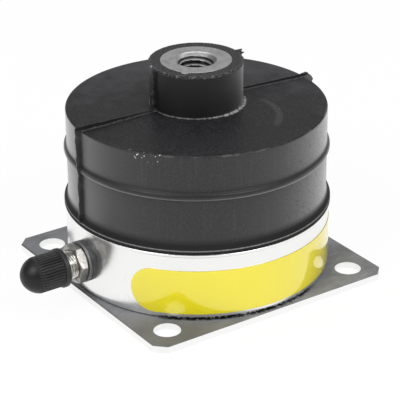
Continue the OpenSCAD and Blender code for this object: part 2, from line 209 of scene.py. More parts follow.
def about_hub(radius: Array, angle: Array, height: Array) -> Array:
    """Points at a radius and angle about the Z axis, at a height."""
    radius, angle, height = np.broadcast_arrays(radius, angle, height)
    return np.stack([radius * np.cos(angle), radius * np.sin(angle), height], -1)


def turned(path: Array, angle: Array) -> Array:
    """An outline of radii and heights turned about the Z axis."""
    return about_hub(path[:, :1], angle, path[:, 1:])


def thread_wave(along: Array, angle: Array, pitch: float) -> Array:
    """Depth share of a right-hand screw thread, 0 on its crest and 1 at its root.

    The phase is along / pitch - angle / full turn. Its distance from the middle of the turn rises
    from 0 at the crest to 1 at the root, and an eighth at either end is cut flat.

    Args:
        along: Distance along the screw's axis.
        angle: Angle about it, in radians.
        pitch: Distance between two turns.

    Returns:
        The share for each pair of values.
    """
    phase = np.mod(along / pitch - angle / FULL_TURN, 1)
    return np.clip((np.abs(2 * phase - 1) - 0.125) / 0.75, 0, 1)


def surface(
    name: str, points: Array, wrap_rows: bool = False, wrap_columns: bool = True,
    crease: float = CREASE, side: Side = Side.OUTWARD,
) -> bpy.types.Object:
    """Makes an object from a grid of points.

    Four neighbours in the grid make a face. Points closer than the merge gap are joined, which
    turns a row at a pole into one point, and edges sharper than the crease stay sharp.

    Args:
        name: The piece's name.
        points: Rows by columns by three coordinates, in millimetres.
        wrap_rows: Whether the last row joins the first.
        wrap_columns: Whether the last column joins the first.
        crease: Angle in degrees above which an edge is shaded sharp.
        side: How the faces get their direction.

    Returns:
        The object, at the origin.
    """
    rows, columns = points.shape[:2]
    i, j = np.meshgrid(
        np.arange(rows if wrap_rows else rows - 1),
        np.arange(columns if wrap_columns else columns - 1), indexing="ij",
    )
    i2, j2 = (i + 1) % rows, (j + 1) % columns
    corners = np.stack([i * columns + j, i * columns + j2, i2 * columns + j2, i2 * columns + j], -1)
    mesh = bpy.data.meshes.new(name)
    count = corners.shape[0] * corners.shape[1]
    mesh.vertices.add(rows * columns)
    mesh.vertices.foreach_set("co", (points * MM).astype(np.float32).ravel())
    mesh.loops.add(4 * count)
    mesh.loops.foreach_set("vertex_index", corners.astype(np.int32).ravel())
    mesh.polygons.add(count)
    mesh.polygons.foreach_set("loop_start", np.arange(0, 4 * count, 4, dtype=np.int32))
    mesh.update(calc_edges=True)
    mesh.validate()
    return finished(name, mesh, crease, side)


def smoothed(mesh: bpy.types.Mesh, crease: float) -> None:
    """Shades a mesh smooth, apart from edges that are sharper than the crease in degrees."""
    mesh.shade_smooth()
    mesh.set_sharp_from_angle(angle=math.radians(crease))


def finished(name: str, mesh: bpy.types.Mesh, crease: float, side: Side) -> bpy.types.Object:
    """Joins a mesh's doubles, points its faces outwards, shades it and links it as an object.

    Args:
        name: The piece's name.
        mesh: The mesh, in metres.
        crease: Angle in degrees above which an edge is shaded sharp.
        side: How the faces get their direction.

    Returns:
        The linked object.
    """
    work = bmesh.new()
    work.from_mesh(mesh)
    bmesh.ops.remove_doubles(work, verts=work.verts, dist=MERGE_GAP)
    bmesh.ops.dissolve_degenerate(work, edges=work.edges, dist=MERGE_GAP / 10)
    if side is Side.OUTWARD:
        bmesh.ops.recalc_face_normals(work, faces=work.faces)
    work.to_mesh(mesh)
    work.free()
    smoothed(mesh, crease)
    piece = bpy.data.objects.new(name, mesh)
    bpy.context.scene.collection.objects.link(piece)
    return piece


def seat(
    piece: bpy.types.Object, body: Body, slot: str, material: bpy.types.Material, *nodes: str
) -> bpy.types.Object:
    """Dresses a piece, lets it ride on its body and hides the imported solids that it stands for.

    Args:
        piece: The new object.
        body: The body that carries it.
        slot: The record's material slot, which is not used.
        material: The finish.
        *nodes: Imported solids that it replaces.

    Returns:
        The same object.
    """
    piece.data.materials.clear()
    piece.data.materials.append(material)
    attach(piece, body.value)
    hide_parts(*nodes)
    LOG.info("%s: %d faces, rides on %s", piece.name, len(piece.data.polygons), body.value)
    return piece


# Shader maths


class Wire:
    """A socket that takes part in sums, each of which adds a Math node."""

    def __init__(self, bench: "Bench", socket: bpy.types.NodeSocket) -> None:
        """Keeps the socket and the bench that its sums are made on."""
        self.bench = bench
        self.socket = socket

    def __add__(self, other: Number) -> "Wire":
        """This plus another."""
        return self.bench.maths("ADD", self, other)

    def __radd__(self, other: Number) -> "Wire":
        """Another plus this."""
        return self.bench.maths("ADD", other, self)

    def __sub__(self, other: Number) -> "Wire":
        """This minus another."""
        return self.bench.maths("SUBTRACT", self, other)

    def __rsub__(self, other: Number) -> "Wire":
        """Another minus this."""
        return self.bench.maths("SUBTRACT", other, self)

    def __mul__(self, other: Number) -> "Wire":
        """This times another."""
        return self.bench.maths("MULTIPLY", self, other)

    def __rmul__(self, other: Number) -> "Wire":
        """Another times this."""
        return self.bench.maths("MULTIPLY", other, self)

    def __pow__(self, other: Number) -> "Wire":
        """This raised to another."""
        return self.bench.maths("POWER", self, other)

    def __abs__(self) -> "Wire":
        """This without its sign."""
        return self.bench.maths("ABSOLUTE", self)


class Bench:
    """One node tree, with the handful of nodes that these finishes are made of."""

    def __init__(self, tree: bpy.types.NodeTree) -> None:
        """Empties the tree and keeps it."""
        self.tree = tree
        tree.nodes.clear()

    def node(self, kind: str, settings: dict | None = None, inputs: dict | None = None) -> bpy.types.Node:
        """Adds any node.

        Args:
            kind: The node's type.
            settings: Its own settings, which are set first.
            inputs: Values or wires for its sockets, by number or name.

        Returns:
            The node.
        """
        node = self.tree.nodes.new(kind)
        for key, value in (settings or {}).items():
            setattr(node, key, value)
        for key, value in (inputs or {}).items():
            if isinstance(value, Wire):
                self.tree.links.new(value.socket, node.inputs[key])
            else:
                node.inputs[key].default_value = value
        return node

    def add(
        self, kind: str, settings: dict | None = None, inputs: dict | None = None, out: int | str = 0
    ) -> Wire:
        """Adds any node, as node() does, and gives the wire from one of its outputs."""
        return Wire(self, self.node(kind, settings, inputs).outputs[out])

    def maths(self, operation: str, *values: Number) -> Wire:
        """One Math node on one or two values."""
        return self.add("ShaderNodeMath", {"operation": operation}, dict(enumerate(values)))

    def most(self, first: Number, *others: Number) -> Wire:
        """The greatest of some values."""
        for other in others:
            first = self.maths("MAXIMUM", first, other)
        return first

    def parts(self, vector: Wire) -> tuple[Wire, Wire, Wire]:
        """The three parts of a vector."""
        node = self.node("ShaderNodeSeparateXYZ", inputs={0: vector})
        return tuple(Wire(self, socket) for socket in node.outputs)

    def stretched(self, vector: Wire, factors: tuple[float, float, float]) -> Wire:
        """A vector with each part multiplied by its own factor."""
        return self.add("ShaderNodeVectorMath", {"operation": "MULTIPLY"}, {0: vector, 1: factors})

    def away_from(self, vector: Wire, point: tuple[float, float, float]) -> Wire:
        """The distance between a vector's end and a point."""
        return self.add("ShaderNodeVectorMath", {"operation": "DISTANCE"}, {0: vector, 1: point}, "Value")

    def noise(self, vector: Wire, size: float, detail: float = 3.0, rough: float = 0.55) -> Wire:
        """Noise from 0 to 1 whose blotches are about size millimetres across."""
        inputs = {"Vector": vector, "Scale": 1 / size, "Detail": detail, "Roughness": rough}
        return self.add("ShaderNodeTexNoise", None, inputs)

    def cells(self, vector: Wire, size: float) -> Wire:
        """Distance to the nearest of scattered points, as a share of their mean spacing."""
        return self.add("ShaderNodeTexVoronoi", None, {"Vector": vector, "Scale": 1 / size})

    def between(self, value: Wire, low: float, high: float) -> Wire:
        """Share of the way from low to high, as 3 t squared minus 2 t cubed.

        Args:
            value: The wire.
            low: Where the share is 0.
            high: Where the share is 1, which may also lie below low.

        Returns:
            The share, from 0 to 1.
        """
        if low > high:
            return 1 - self.between(value, high, low)
        inputs = {"Value": value, "From Min": low, "From Max": high}
        return self.add("ShaderNodeMapRange", {"interpolation_type": "SMOOTHSTEP"}, inputs)

    def band(self, value: Wire, rise: tuple[float, float], fall: tuple[float, float]) -> Wire:
        """Share that grows from 0 to 1 over one stretch of a value and goes back over a later one."""
        return self.between(value, *rise) * self.between(value, fall[1], fall[0])

    def blend(self, factor: Number, first: "Wire | tuple", second: "Wire | tuple") -> Wire:
        """The first colour with the second mixed into it by a factor."""
        first, second = (part if isinstance(part, Wire) else (*part, 1) for part in (first, second))
        return self.add("ShaderNodeMix", {"data_type": "RGBA"}, {0: factor, 6: first, 7: second}, 2)

    def layered(self, ground: "Wire | tuple", *layers: tuple[Wire, tuple]) -> Wire:
        """A ground colour with layers over it, each a share and its colour."""
        for share, colour in layers:
            ground = self.blend(share, ground, colour)
        return ground

    def bump(self, height: Wire, depth: float, strength: float = 1.0, under: Wire | None = None) -> Wire:
        """A normal from a height of 0 to 1.

        Args:
            height: The height.
            depth: What a height of 1 stands for, in millimetres.
            strength: The node's own strength.
            under: A normal that this one is laid over.

        Returns:
            The normal.
        """
        inputs = {"Strength": strength, "Distance": depth * MM, "Height": height}
        if under is not None:
            inputs["Normal"] = under
        return self.add("ShaderNodeBump", None, inputs)

    def shine(self, **sockets: "Wire | float | tuple") -> Wire:
        """A Principled shader, with its sockets named in words joined by underscores."""
        named = {key.replace("_", " ").title().replace("Ior", "IOR"): value for key, value in sockets.items()}
        return self.add("ShaderNodeBsdfPrincipled", None, named)


class Spot:
    """The point that a shader works on, with the distances that masks are made from, in millimetres."""

    def __init__(self, bench: Bench) -> None:
        """Reads the point on the object and scales it."""
        metres = bench.add("ShaderNodeTexCoord", out="Object")
        self.place = bench.add("ShaderNodeVectorMath", {"operation": "SCALE"}, {0: metres, "Scale": 1 / MM})
        self.x, self.y, self.z = bench.parts(self.place)

    def towards(self, direction: tuple[float, float]) -> Wire:
        """Distance from the mount's axis along a direction over the floor."""
        return direction[0] * self.x + direction[1] * self.y

    @cached_property
    def right(self) -> Wire:
        """Distance from the mount's axis to the photograph's right."""
        return self.towards(RIGHTWARDS)

    @cached_property
    def radius(self) -> Wire:
        """Distance from the mount's axis."""
        return (self.x * self.x + self.y * self.y) ** 0.5

    def valve_radius(self, axis: float) -> Wire:
        """Distance from the valve's axis, which runs along X at the given height."""
        up = self.z - axis
        return (self.y * self.y + up * up) ** 0.5


class Finish:
    """A finish that is worked out by nodes."""

    name: str

    def material(self) -> bpy.types.Material:
        """Makes the material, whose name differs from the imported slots' own.

        Returns:
            The new material.
        """
        made = bpy.data.materials.new(f"{self.name}_finish")
        made.use_nodes = True
        bench = Bench(made.node_tree)
        bench.node("ShaderNodeOutputMaterial", None, {"Surface": self.shader(bench)})
        return made

    def shader(self, bench: Bench) -> Wire:
        """The finish's shader, made on a bench."""
        raise NotImplementedError


@dataclass(frozen=True)
class PolishedCup(Finish):
    """Bright plated and polished sheet, with faint waves and hairlines, and painted contact shadow and dark
    sealant at its foot.
    """

    foot: float
    name: str = "polished_cup"
    colour: tuple = (0.93, 0.93, 0.92)
    dull: tuple = (0.80, 0.80, 0.78)
    sealant_and_shade: tuple = (0.03, 0.03, 0.03)
    wave_depth: float = 0.02
    hairline_depth: float = 0.002
    contact_shadow_z: tuple = (0.35, 0.15)
    gap_z: tuple = (0.95, 0.60)

    def shader(self, bench: Bench) -> Wire:
        """Hairlines run round the cup, and small dull marks are scattered over it.

        A thin line of painted contact shadow runs all round its foot. At the front it widens to a torn
        gap of dark sealant with painted shade in it, and glints where the bare metal shows through.

        Args:
            bench: The node tree.

        Returns:
            The shader.
        """
        at = Spot(bench)
        waves = bench.noise(bench.stretched(at.place, (1, 1, 0.45)), size=9.0, detail=1)
        hairlines = bench.noise(bench.stretched(at.place, (0.04, 0.04, 1)), size=0.35, detail=2)
        marks = bench.between(bench.noise(at.place, size=2.4, detail=4), 0.62, 0.78)
        torn = bench.noise(bench.stretched(at.place, (1, 1, 0.4)), size=1.3, detail=3, rough=0.7)
        glint = bench.between(bench.noise(at.place, size=0.7, detail=2), 0.60, 0.63)
        above_foot = at.z - self.foot
        # The torn gap at the front: dark sealant with painted shade in the gap, broken where the metal shows
        gap = bench.between(above_foot, *self.gap_z) * bench.between(torn, 0.40, 0.50) * (1 - glint)
        gap = gap * bench.band(at.right, *TORN_FOOT)
        # Painted contact shadow in a thin line all round the foot, joined with the torn gap
        dark = bench.most(gap, bench.between(above_foot, *self.contact_shadow_z))
        return bench.shine(
            base_color=bench.layered(self.colour, (0.35 * marks, self.dull), (dark, self.sealant_and_shade)),
            metallic=1.0, roughness=0.23 + 0.06 * hairlines + 0.08 * marks,
            normal=bench.bump(hairlines, self.hairline_depth, 0.5, bench.bump(waves, self.wave_depth)),
        )


@dataclass(frozen=True)
class PlatedPlate(Finish):
    """Zinc-plated rolled plate: fine rolling grain, soft cloudy stains and bright sheared edges."""

    half: float
    top: float
    cup_r: float
    name: str = "plated_plate"
    colour: tuple = (0.252, 0.256, 0.270)
    stain: tuple = (0.165, 0.168, 0.178)
    bright: tuple = (0.97, 0.97, 0.965)
    rolled: tuple = (0.10, 0.10, 0.10)
    sealant_and_shade: tuple = (0.02, 0.02, 0.02)
    metal: float = 0.10
    ior: float = 1.3
    grain_depth: float = 0.004
    cloud_depth: float = 0.02
    edge_drop: tuple = (0.06, 0.20)
    rolled_w: tuple = (0.75, 0.35)
    corner_w: tuple = (6.8, 6.2)
    front_reach: tuple = (-0.9, -1.75)
    gap_w: tuple = (0.9, 0.3)

    def shader(self, bench: Bench) -> Wire:
        """The grain runs along X on the faces, and the sheared edges are brighter and metallic.

        Painted shade lies along the rolled left edge and the front corner, and grows over the plate
        towards its front corner. A torn gap of dark sealant and painted shade runs round the cup's foot at
        the front.

        Args:
            bench: The node tree.

        Returns:
            The shader.
        """
        at = Spot(bench)
        grain = bench.noise(bench.stretched(at.place, (0.05, 1, 1)), size=0.25, detail=3)
        cloud = bench.noise(at.place, size=11, detail=4, rough=0.6)
        scratches = bench.noise(bench.stretched(at.place, (0.6, 0.05, 1)), size=0.5, detail=2, rough=0.7)
        torn = bench.noise(at.place, size=1.1, detail=3, rough=0.7)
        edge = bench.between(self.top - at.z, *self.edge_drop)
        # Painted shade along the rolled left edge and at the front corner
        rolled = bench.between(at.x + self.half, *self.rolled_w)
        corner = bench.between(at.x + at.y + 2 * self.half, *self.corner_w)
        rolled = bench.most(rolled, corner) * (1 - edge)
        # Painted shade that grows towards the plate's front corner
        front = bench.between(at.x + at.y, *(reach * self.half for reach in self.front_reach))
        # Torn gap at the cup's foot: dark sealant with painted shade in the gap
        gap = bench.between(at.radius - self.cup_r, *self.gap_w) * bench.between(torn, 0.42, 0.52)
        gap = gap * bench.band(at.right, *TORN_FOOT)
        colour = bench.layered(
            self.colour,
            (bench.between(cloud, 0.35, 0.7), self.stain),
            (0.25 * bench.between(grain, 0.5, 0.8), self.bright),
            (bench.most(0.65 * rolled, 0.6 * front), self.rolled),
            (gap, self.sealant_and_shade),
            (edge, self.bright),
        )
        return bench.shine(
            base_color=colour, metallic=self.metal + (1 - self.metal) * edge,
            roughness=0.40 + 0.12 * cloud + 0.06 * grain + 0.08 * bench.between(scratches, 0.68, 0.74),
            normal=bench.bump(grain, self.grain_depth, 0.6, bench.bump(cloud, self.cloud_depth, 0.6)),
            ior=self.ior,
        )


class RubberMap:
    """Where each effect lies on the drum, as shares from 0 to 1 that are worked out on first use.

    Distances are in millimetres. West is the valve's side.
    """

    chip = (-13.1, 3.1, 62.0)
    chip_z = (61.2, 61.6)
    scuff_centre = (0.5, -12.0)
    scuff_r = 15.3

    def __init__(self, bench: Bench, drum: "RubberDrum") -> None:
        """Keeps the bench and the drum's sizes, and reads the point."""
        self.bench = bench
        self.drum = drum
        self.at = Spot(bench)

    @cached_property
    def grain(self) -> Wire:
        """Pale grain."""
        fine = self.bench.noise(self.at.place, size=0.42, detail=3, rough=0.65)
        return self.bench.between(fine, 0.42, 0.78)

    @cached_property
    def cloud(self) -> Wire:
        """Noise in broad blotches."""
        return self.bench.noise(self.at.place, size=5.5, detail=5, rough=0.62)

    @cached_property
    def flecks(self) -> Wire:
        """Pale flecks on cut edges."""
        fine = self.bench.noise(self.at.place, size=0.55, detail=4, rough=0.7)
        return self.bench.between(fine, 0.42, 0.72)

    @cached_property
    def past_side(self) -> Wire:
        """Distance out of the drum's side."""
        return self.at.radius - self.drum.side_r

    @cached_property
    def past_boss(self) -> Wire:
        """Distance out of the boss."""
        return self.at.radius - self.drum.boss_r

    @cached_property
    def over_lip(self) -> Wire:
        """Height over the lip."""
        return self.at.z - self.drum.lip_z

    @cached_property
    def over_top(self) -> Wire:
        """Height over the flat top."""
        return self.at.z - self.drum.top

    @cached_property
    def below_mouth(self) -> Wire:
        """Depth below the boss's mouth."""
        return self.drum.boss_top - self.at.z

    @cached_property
    def off_line(self) -> Wire:
        """Distance behind the parting line."""
        turn = math.radians(self.drum.parting_turn)
        return self.at.towards((math.sin(turn), math.cos(turn)))

    @cached_property
    def way_out(self) -> Wire:
        """Share of the way from the boss to the rim."""
        return self.bench.between(self.at.radius, self.drum.boss_r, self.drum.side_r)

    @cached_property
    def over_crown(self) -> Wire:
        """Height over the top's crown."""
        return self.over_top - self.drum.crown_h * (1 - self.way_out)

    @cached_property
    def outside(self) -> Wire:
        """All that lies outside the boss's foot."""
        return self.bench.between(self.past_boss, 0.5, 0.9)

    @cached_property
    def top(self) -> Wire:
        """The drum's top."""
        return self.bench.between(self.over_top, -0.35, -0.05) * self.outside

    @cached_property
    def side(self) -> Wire:
        """The satin side, with painted shade over the flare, above the bead and beside the fin, less sheen on
        the bead, and duller specks.
        """
        bench, past_bead = self.bench, self.at.z - self.drum.bead_z
        wall = bench.between(self.past_side, -0.5, -0.1)
        # Painted shade: less satin over the flare above the lip
        wall = wall * (0.05 + 0.95 * bench.between(self.over_lip, 0.8, 3.0))
        specks = bench.between(bench.noise(self.at.place, size=0.5, detail=4, rough=0.7), 0.50, 0.66)
        specks = specks * bench.between(self.at.right, 14.0, 28.0)
        # Painted shade in a band above the bead, and less sheen on the bead itself
        shade_over_bead = bench.band(past_bead, (0.5, 0.9), (1.0, 2.4))
        on_bead = bench.between(self.past_side, 0.15, 0.4)
        # Painted shade beside the fin
        shade_by_fin = bench.band(self.off_line, (-1.5, -0.7), (-0.3, -0.2))
        wall = wall * (1 - self.top) * (1 - self.lump)
        return wall * (1 - 0.60 * specks) * (1 - 0.55 * shade_over_bead) * (1 - 0.45 * on_bead) * (1 - 0.5 * shade_by_fin)

    @cached_property
    def boss(self) -> Wire:
        """The boss's wall, with painted shade towards its foot."""
        bench, drum = self.bench, self.drum
        wall = bench.between(self.past_boss, 0.3, 0.1) * bench.between(self.below_mouth, 0.5, 1.0)
        return wall * (0.60 + 0.40 * bench.between(self.at.z, drum.top + 2.0, drum.boss_top - 3.0))

    @cached_property
    def flare(self) -> Wire:
        """The dull flare between the side and the lip."""
        return self.bench.between(self.over_lip, 2.4, 1.0) * self.bench.between(self.past_side, -0.4, 0.0)

    @cached_property
    def lip(self) -> Wire:
        """The painted highlight along the lip's upper edge."""
        line = self.bench.between(abs(self.over_lip), 0.22, 0.08)
        return line * self.bench.between(self.at.radius - self.drum.lip_r, -0.5, -0.3)

    @cached_property
    def corner(self) -> Wire:
        """The rubbed corner between the side and the top, in patches away from the valve."""
        bench = self.bench
        corner = bench.between(abs(self.past_side) - self.over_top, 0.60, 0.30)
        corner = corner * bench.between(self.past_side, -0.8, -0.5) * bench.between(self.over_top, 0.15, 0.05)
        return corner * bench.between(self.at.right, -14.0, 0.0) * bench.between(self.cloud, 0.45, 0.6)

    @cached_property
    def cut(self) -> Wire:
        """The trimmed face and edge of the boss's mouth."""
        return self.bench.between(self.below_mouth, 0.95, 0.45)

    @cached_property
    def mouth(self) -> Wire:
        """The flecked outer edge of the boss's mouth."""
        edge = self.bench.between(abs(self.past_boss + 0.22), 0.38, 0.16)
        edge = edge * self.bench.between(self.below_mouth, 0.9, 0.5)
        return edge * self.bench.between(self.flecks, 0.25, 0.7)

    @cached_property
    def chipped(self) -> Wire:
        """The pale torn chip at the mouth."""
        near = self.bench.between(self.bench.away_from(self.at.place, self.chip), 1.0, 0.6)
        return near * self.bench.between(self.at.z, *self.chip_z)

    @cached_property
    def lump(self) -> Wire:
        """The torn tab on the rim."""
        bench = self.bench
        near = bench.between(self.at.x, 34.8, 35.4) * bench.between(abs(self.off_line + 1.0), 3.0, 2.5)
        return near * bench.between(self.over_top, -1.6, -1.0) * (0.4 + 0.6 * self.grain)

    @cached_property
    def foot(self) -> Wire:
        """The pale torn flash round the boss's foot with a painted highlight on it, broken and stronger at
        the right.
        """
        bench = self.bench
        ring = bench.band(self.past_boss, (0.02, 0.10), (0.85, 1.10))
        standing = bench.band(self.over_top - self.drum.crown_h, (0.06, 0.22), (0.8, 1.0))
        broken = bench.between(bench.noise(self.at.place, size=0.8, detail=3, rough=0.6), 0.34, 0.56)
        return ring * standing * broken * (0.35 + 0.65 * bench.between(self.at.right, 0.0, 9.0))

    @cached_property
    def face(self) -> Wire:
        """The upright faces of the top's fin, between its ledge and its crest, where painted shade lies."""
        bench, drum = self.bench, self.drum
        west = bench.between(self.at.x, 1.0, -1.0)
        crest = 0.0
        for share, (low, high) in ((west, drum.fin_top_west), (1 - west, drum.fin_top_east)):
            crest = crest + share * (low + (high - low) * self.way_out)
        near = bench.between(abs(self.off_line), 0.75, 0.60) * self.outside
        near = near * bench.between(self.over_crown, 0.33, 0.43)
        return near * bench.between(crest - self.over_crown, 0.05, 0.2)

    @cached_property
    def ledge(self) -> Wire:
        """The torn ledge in front of the top's fin, paler rubber with a painted highlight."""
        near = self.bench.band(self.off_line, (-1.0, -0.8), (-0.3, -0.2)) * self.outside
        return near * self.bench.between(self.over_crown, 0.08, 0.20)

    @cached_property
    def scuff(self) -> Wire:
        """The curved scuff on the drum's top, an arc about a centre of its own."""
        x, y = self.at.x - self.scuff_centre[0], self.at.y - self.scuff_centre[1]
        arc_share = self.bench.between(abs((x * x + y * y) ** 0.5 - self.scuff_r), 1.3, 0.5)
        return arc_share * self.bench.between(x, 6.5, 9.5) * self.bench.between(y, 5.0, 1.0) * self.top

    @cached_property
    def dust(self) -> Wire:
        """Specks of dust on the rim at the valve's side."""
        bench = self.bench
        grains = bench.between(bench.cells(self.at.place, size=0.8), 0.26, 0.18)
        few = bench.between(bench.noise(self.at.place, size=1.6, detail=1), 0.48, 0.54)
        rim = bench.between(self.over_top, -3.0, -1.2) * bench.between(self.past_side, -1.6, -0.4)
        return grains * few * rim * bench.band(self.at.right, (-21.0, -18.5), (-9.5, -7.0))


@dataclass(frozen=True)
class MouldedRubber(Finish):
    """Black moulded rubber: satin side with flow streaks, bloom on top, dull trimmed edges, with painted
    sheen, highlights and shade.
    """

    drum: "RubberDrum"
    name: str = "moulded_rubber"
    colour: tuple = (0.007, 0.007, 0.0078)
    bloom_and_sheen: tuple = (0.060, 0.060, 0.066)
    trimmed: tuple = (0.10, 0.10, 0.103)
    pale_flash_and_highlight: tuple = (0.34, 0.34, 0.34)
    torn: tuple = (0.11, 0.11, 0.115)
    scuffed: tuple = (0.10, 0.10, 0.105)
    dust: tuple = (0.52, 0.52, 0.51)
    shade: tuple = (0.002, 0.002, 0.002)
    side_ior: float = 1.37
    side_sheen: float = 1.0
    side_sheen_roughness: float = 0.45
    boss_right_sheen: float = 0.56
    plain_ior: float = 1.40
    skin_depth: float = 0.012
    fleck_depth: float = 0.02

    def shader(self, bench: Bench) -> Wire:
        """Mixes a satin shader for the side and, as a painted sheen, the boss's right with a duller one for
        the rest.

        Args:
            bench: The node tree.

        Returns:
            The shader.
        """
        on = RubberMap(bench, self.drum)
        at, top, face, grain = on.at, on.top, on.face, on.grain
        fine = bench.noise(at.place, size=0.6, detail=2)
        streaks = bench.noise(bench.stretched(at.place, (1, 1, 0.05)), size=0.9, detail=4, rough=0.6)
        # Bloom on the top, made lighter towards the back as a painted sheen
        bloom_and_back_sheen = bench.between(on.cloud + 0.012 * at.towards(BACKWARDS), 0.42, 0.95) * top
        plain = bench.layered(
            self.colour,
            (0.78 * bloom_and_back_sheen * (1 - face), self.bloom_and_sheen),
            (on.cut * (0.12 + 0.88 * on.flecks), self.trimmed),
            # Pale flash with a painted highlight round the boss's foot
            (on.foot, self.pale_flash_and_highlight),
            (0.80 * grain * (0.05 + 0.95 * top) * (1 - face), self.bloom_and_sheen),
            # Paler torn rubber with a painted highlight along the fin's ledge
            (on.ledge * (0.05 + 0.5 * grain), self.torn),
            (0.65 * on.corner, self.torn),
            (on.chipped, self.pale_flash_and_highlight),
            (0.58 * on.scuff * (0.35 + 0.65 * grain), self.scuffed),
            (0.42 * on.mouth, self.pale_flash_and_highlight),
            (on.lump, self.torn),
            # Painted shade on the fin's upright faces
            (face, self.shade),
            (on.dust, self.dust),
            # Painted highlight along the lip's upper edge
            (0.9 * on.lip * (0.4 + 0.6 * grain), self.pale_flash_and_highlight),
        )
        # Painted sheen in the satin colour towards the side's left and right ends, over its streaks and grain
        limb_sheen = bench.between(abs(at.right + 1.0), 22.0, 35.0)
        satin = 0.30 * bench.between(streaks, 0.5, 0.9) + 0.35 * grain + 0.55 * limb_sheen
        satin = bench.layered(
            self.colour, (satin, self.bloom_and_sheen), (0.5 * on.corner, self.torn), (on.dust, self.dust)
        )
        normal = bench.bump(0.5 * fine + 0.4 * streaks * on.side + 0.3 * grain, self.skin_depth, 0.8)
        normal = bench.bump(on.cut * on.flecks, self.fleck_depth, 0.8, normal)
        plain_shader = bench.shine(
            base_color=plain, normal=normal, ior=self.plain_ior,
            roughness=0.42 + 0.10 * bloom_and_back_sheen + 0.25 * on.cut + 0.3 * face + 0.45 * on.flare,
        )
        side_shader = bench.shine(
            base_color=satin, normal=normal, ior=self.side_ior, roughness=0.36 + 0.08 * fine - 0.06 * streaks,
            sheen_weight=self.side_sheen, sheen_roughness=self.side_sheen_roughness,
        )
        # The satin shader on the boss's right is a painted sheen
        share = on.side + on.boss * (0.04 + self.boss_right_sheen * bench.between(at.right, 2.0, 12.0))
        return bench.add("ShaderNodeMixShader", None, {0: share, 1: plain_shader, 2: side_shader})


@dataclass(frozen=True)
class TurnedMetal(Finish):
    """Turned metal whose tool marks are fine rings about an axis, with a few handling stains."""

    name: str
    colour: tuple
    stain: tuple
    roughness: float
    valve_axis: float | None = None
    mark_pitch: float = 0.22
    mark_depth: float = 0.006
    stain_size: float = 2.2
    hole: tuple | None = None
    hole_shade: tuple = (0.02, 0.02, 0.02)

    def shader(self, bench: Bench) -> Wire:
        """The ring's radius about the hub's or the valve's axis drives the tool marks.

        Args:
            bench: The node tree.

        Returns:
            The shader.
        """
        at = Spot(bench)
        if self.valve_axis is None:
            radius, along = at.radius, at.z
        else:
            radius, along = at.valve_radius(self.valve_axis), at.x
        wave = bench.maths("SINE", (radius + along) * (FULL_TURN / self.mark_pitch))
        grit = bench.noise(at.place, size=0.35, detail=3, rough=0.6)
        cloud = bench.noise(at.place, size=self.stain_size, detail=4, rough=0.6)
        colour = bench.blend(bench.between(0.6 * cloud + 0.4 * grit, 0.42, 0.70), self.colour, self.stain)
        if self.hole is not None:
            # Painted shade in the hub's hole
            colour = bench.blend(self.painted_hole_shade(bench, at, radius), colour, self.hole_shade)
        return bench.shine(
            base_color=colour, metallic=1.0, roughness=self.roughness + 0.10 * cloud + 0.08 * grit,
            normal=bench.bump(0.5 + 0.3 * wave + 0.6 * grit, self.mark_depth),
        )

    def painted_hole_shade(self, bench: Bench, at: Spot, radius: Wire) -> Wire:
        """Share of the painted shade in the hub's hole: its thread's grooves, its depth and the countersink.

        Args:
            bench: The node tree.
            at: The point.
            radius: Distance from the hole's axis.

        Returns:
            The mask.
        """
        core_r, face = self.hole
        below = face - at.z
        groove = bench.between(radius - core_r, 0.10, 0.50) * bench.between(below, 0.9, 1.1)
        deep = bench.between(below, 3.0, 5.0)
        # Painted shade on the countersink, apart from its left
        sink = bench.between(below, 0.10, 0.30) * bench.between(at.right, -4.0, -2.4)
        return bench.most(0.95 * groove, 0.95 * deep, 0.5 * sink)


@dataclass(frozen=True)
class SoftBlack(Finish):
    """Rubber or plastic with a fine moulded grain, lighter on the crests of its ribs where it has them."""

    name: str
    colour: tuple
    worn: tuple
    roughness: float
    grain: float = 0.3
    grain_depth: float = 0.01
    ior: float = 1.5
    ribs: tuple | None = None

    def shader(self, bench: Bench) -> Wire:
        """Fine grain lifts the colour a little where it is rubbed.

        Args:
            bench: The node tree.

        Returns:
            The shader.
        """
        at = Spot(bench)
        grit = bench.noise(at.place, size=self.grain, detail=4, rough=0.6)
        cloud = bench.noise(at.place, size=3.2, detail=4, rough=0.6)
        rubbed = bench.between(0.5 * grit + 0.5 * cloud, 0.45, 0.8)
        if self.ribs is not None:
            axis, root_r, crest_r = self.ribs
            crest = bench.between(at.valve_radius(axis), root_r + 0.04, crest_r - 0.02)
            rubbed = crest * (0.6 + 0.4 * rubbed)
        return bench.shine(
            base_color=bench.blend(rubbed, self.colour, self.worn), ior=self.ior,
            roughness=self.roughness + 0.10 * (cloud - 0.5) + 0.08 * grit,
            normal=bench.bump(grit, self.grain_depth, 0.7),
        )


@dataclass(frozen=True)
class LabelFilm(Finish):
    """Glossy yellow film under a clear layer, slightly darker at its cut edge."""

    low: float
    high: float
    name: str = "label_film"
    colour: tuple = (0.84, 0.72, 0.0)
    light: tuple = (0.90, 0.80, 0.03)
    edge: tuple = (0.60, 0.52, 0.03)
    edge_w: tuple = (0.18, 0.02)
    wave_depth: float = 0.02

    def shader(self, bench: Bench) -> Wire:
        """The film's ink is a little mottled, and its surface follows the cup in long soft waves.

        Args:
            bench: The node tree.

        Returns:
            The shader.
        """
        at = Spot(bench)
        mottle = bench.noise(at.place, size=0.5, detail=3, rough=0.6)
        waves = bench.noise(at.place, size=6.0, detail=2)
        rim = bench.most(
            bench.between(at.z - self.low, *self.edge_w), bench.between(self.high - at.z, *self.edge_w)
        )
        return bench.shine(
            base_color=bench.layered(self.colour, (0.12 * mottle, self.light), (0.5 * rim, self.edge)),
            roughness=0.10 + 0.08 * mottle, ior=1.6, normal=bench.bump(waves, self.wave_depth, 0.6),
            coat_weight=1.0, coat_roughness=0.04, coat_ior=1.6,
        )


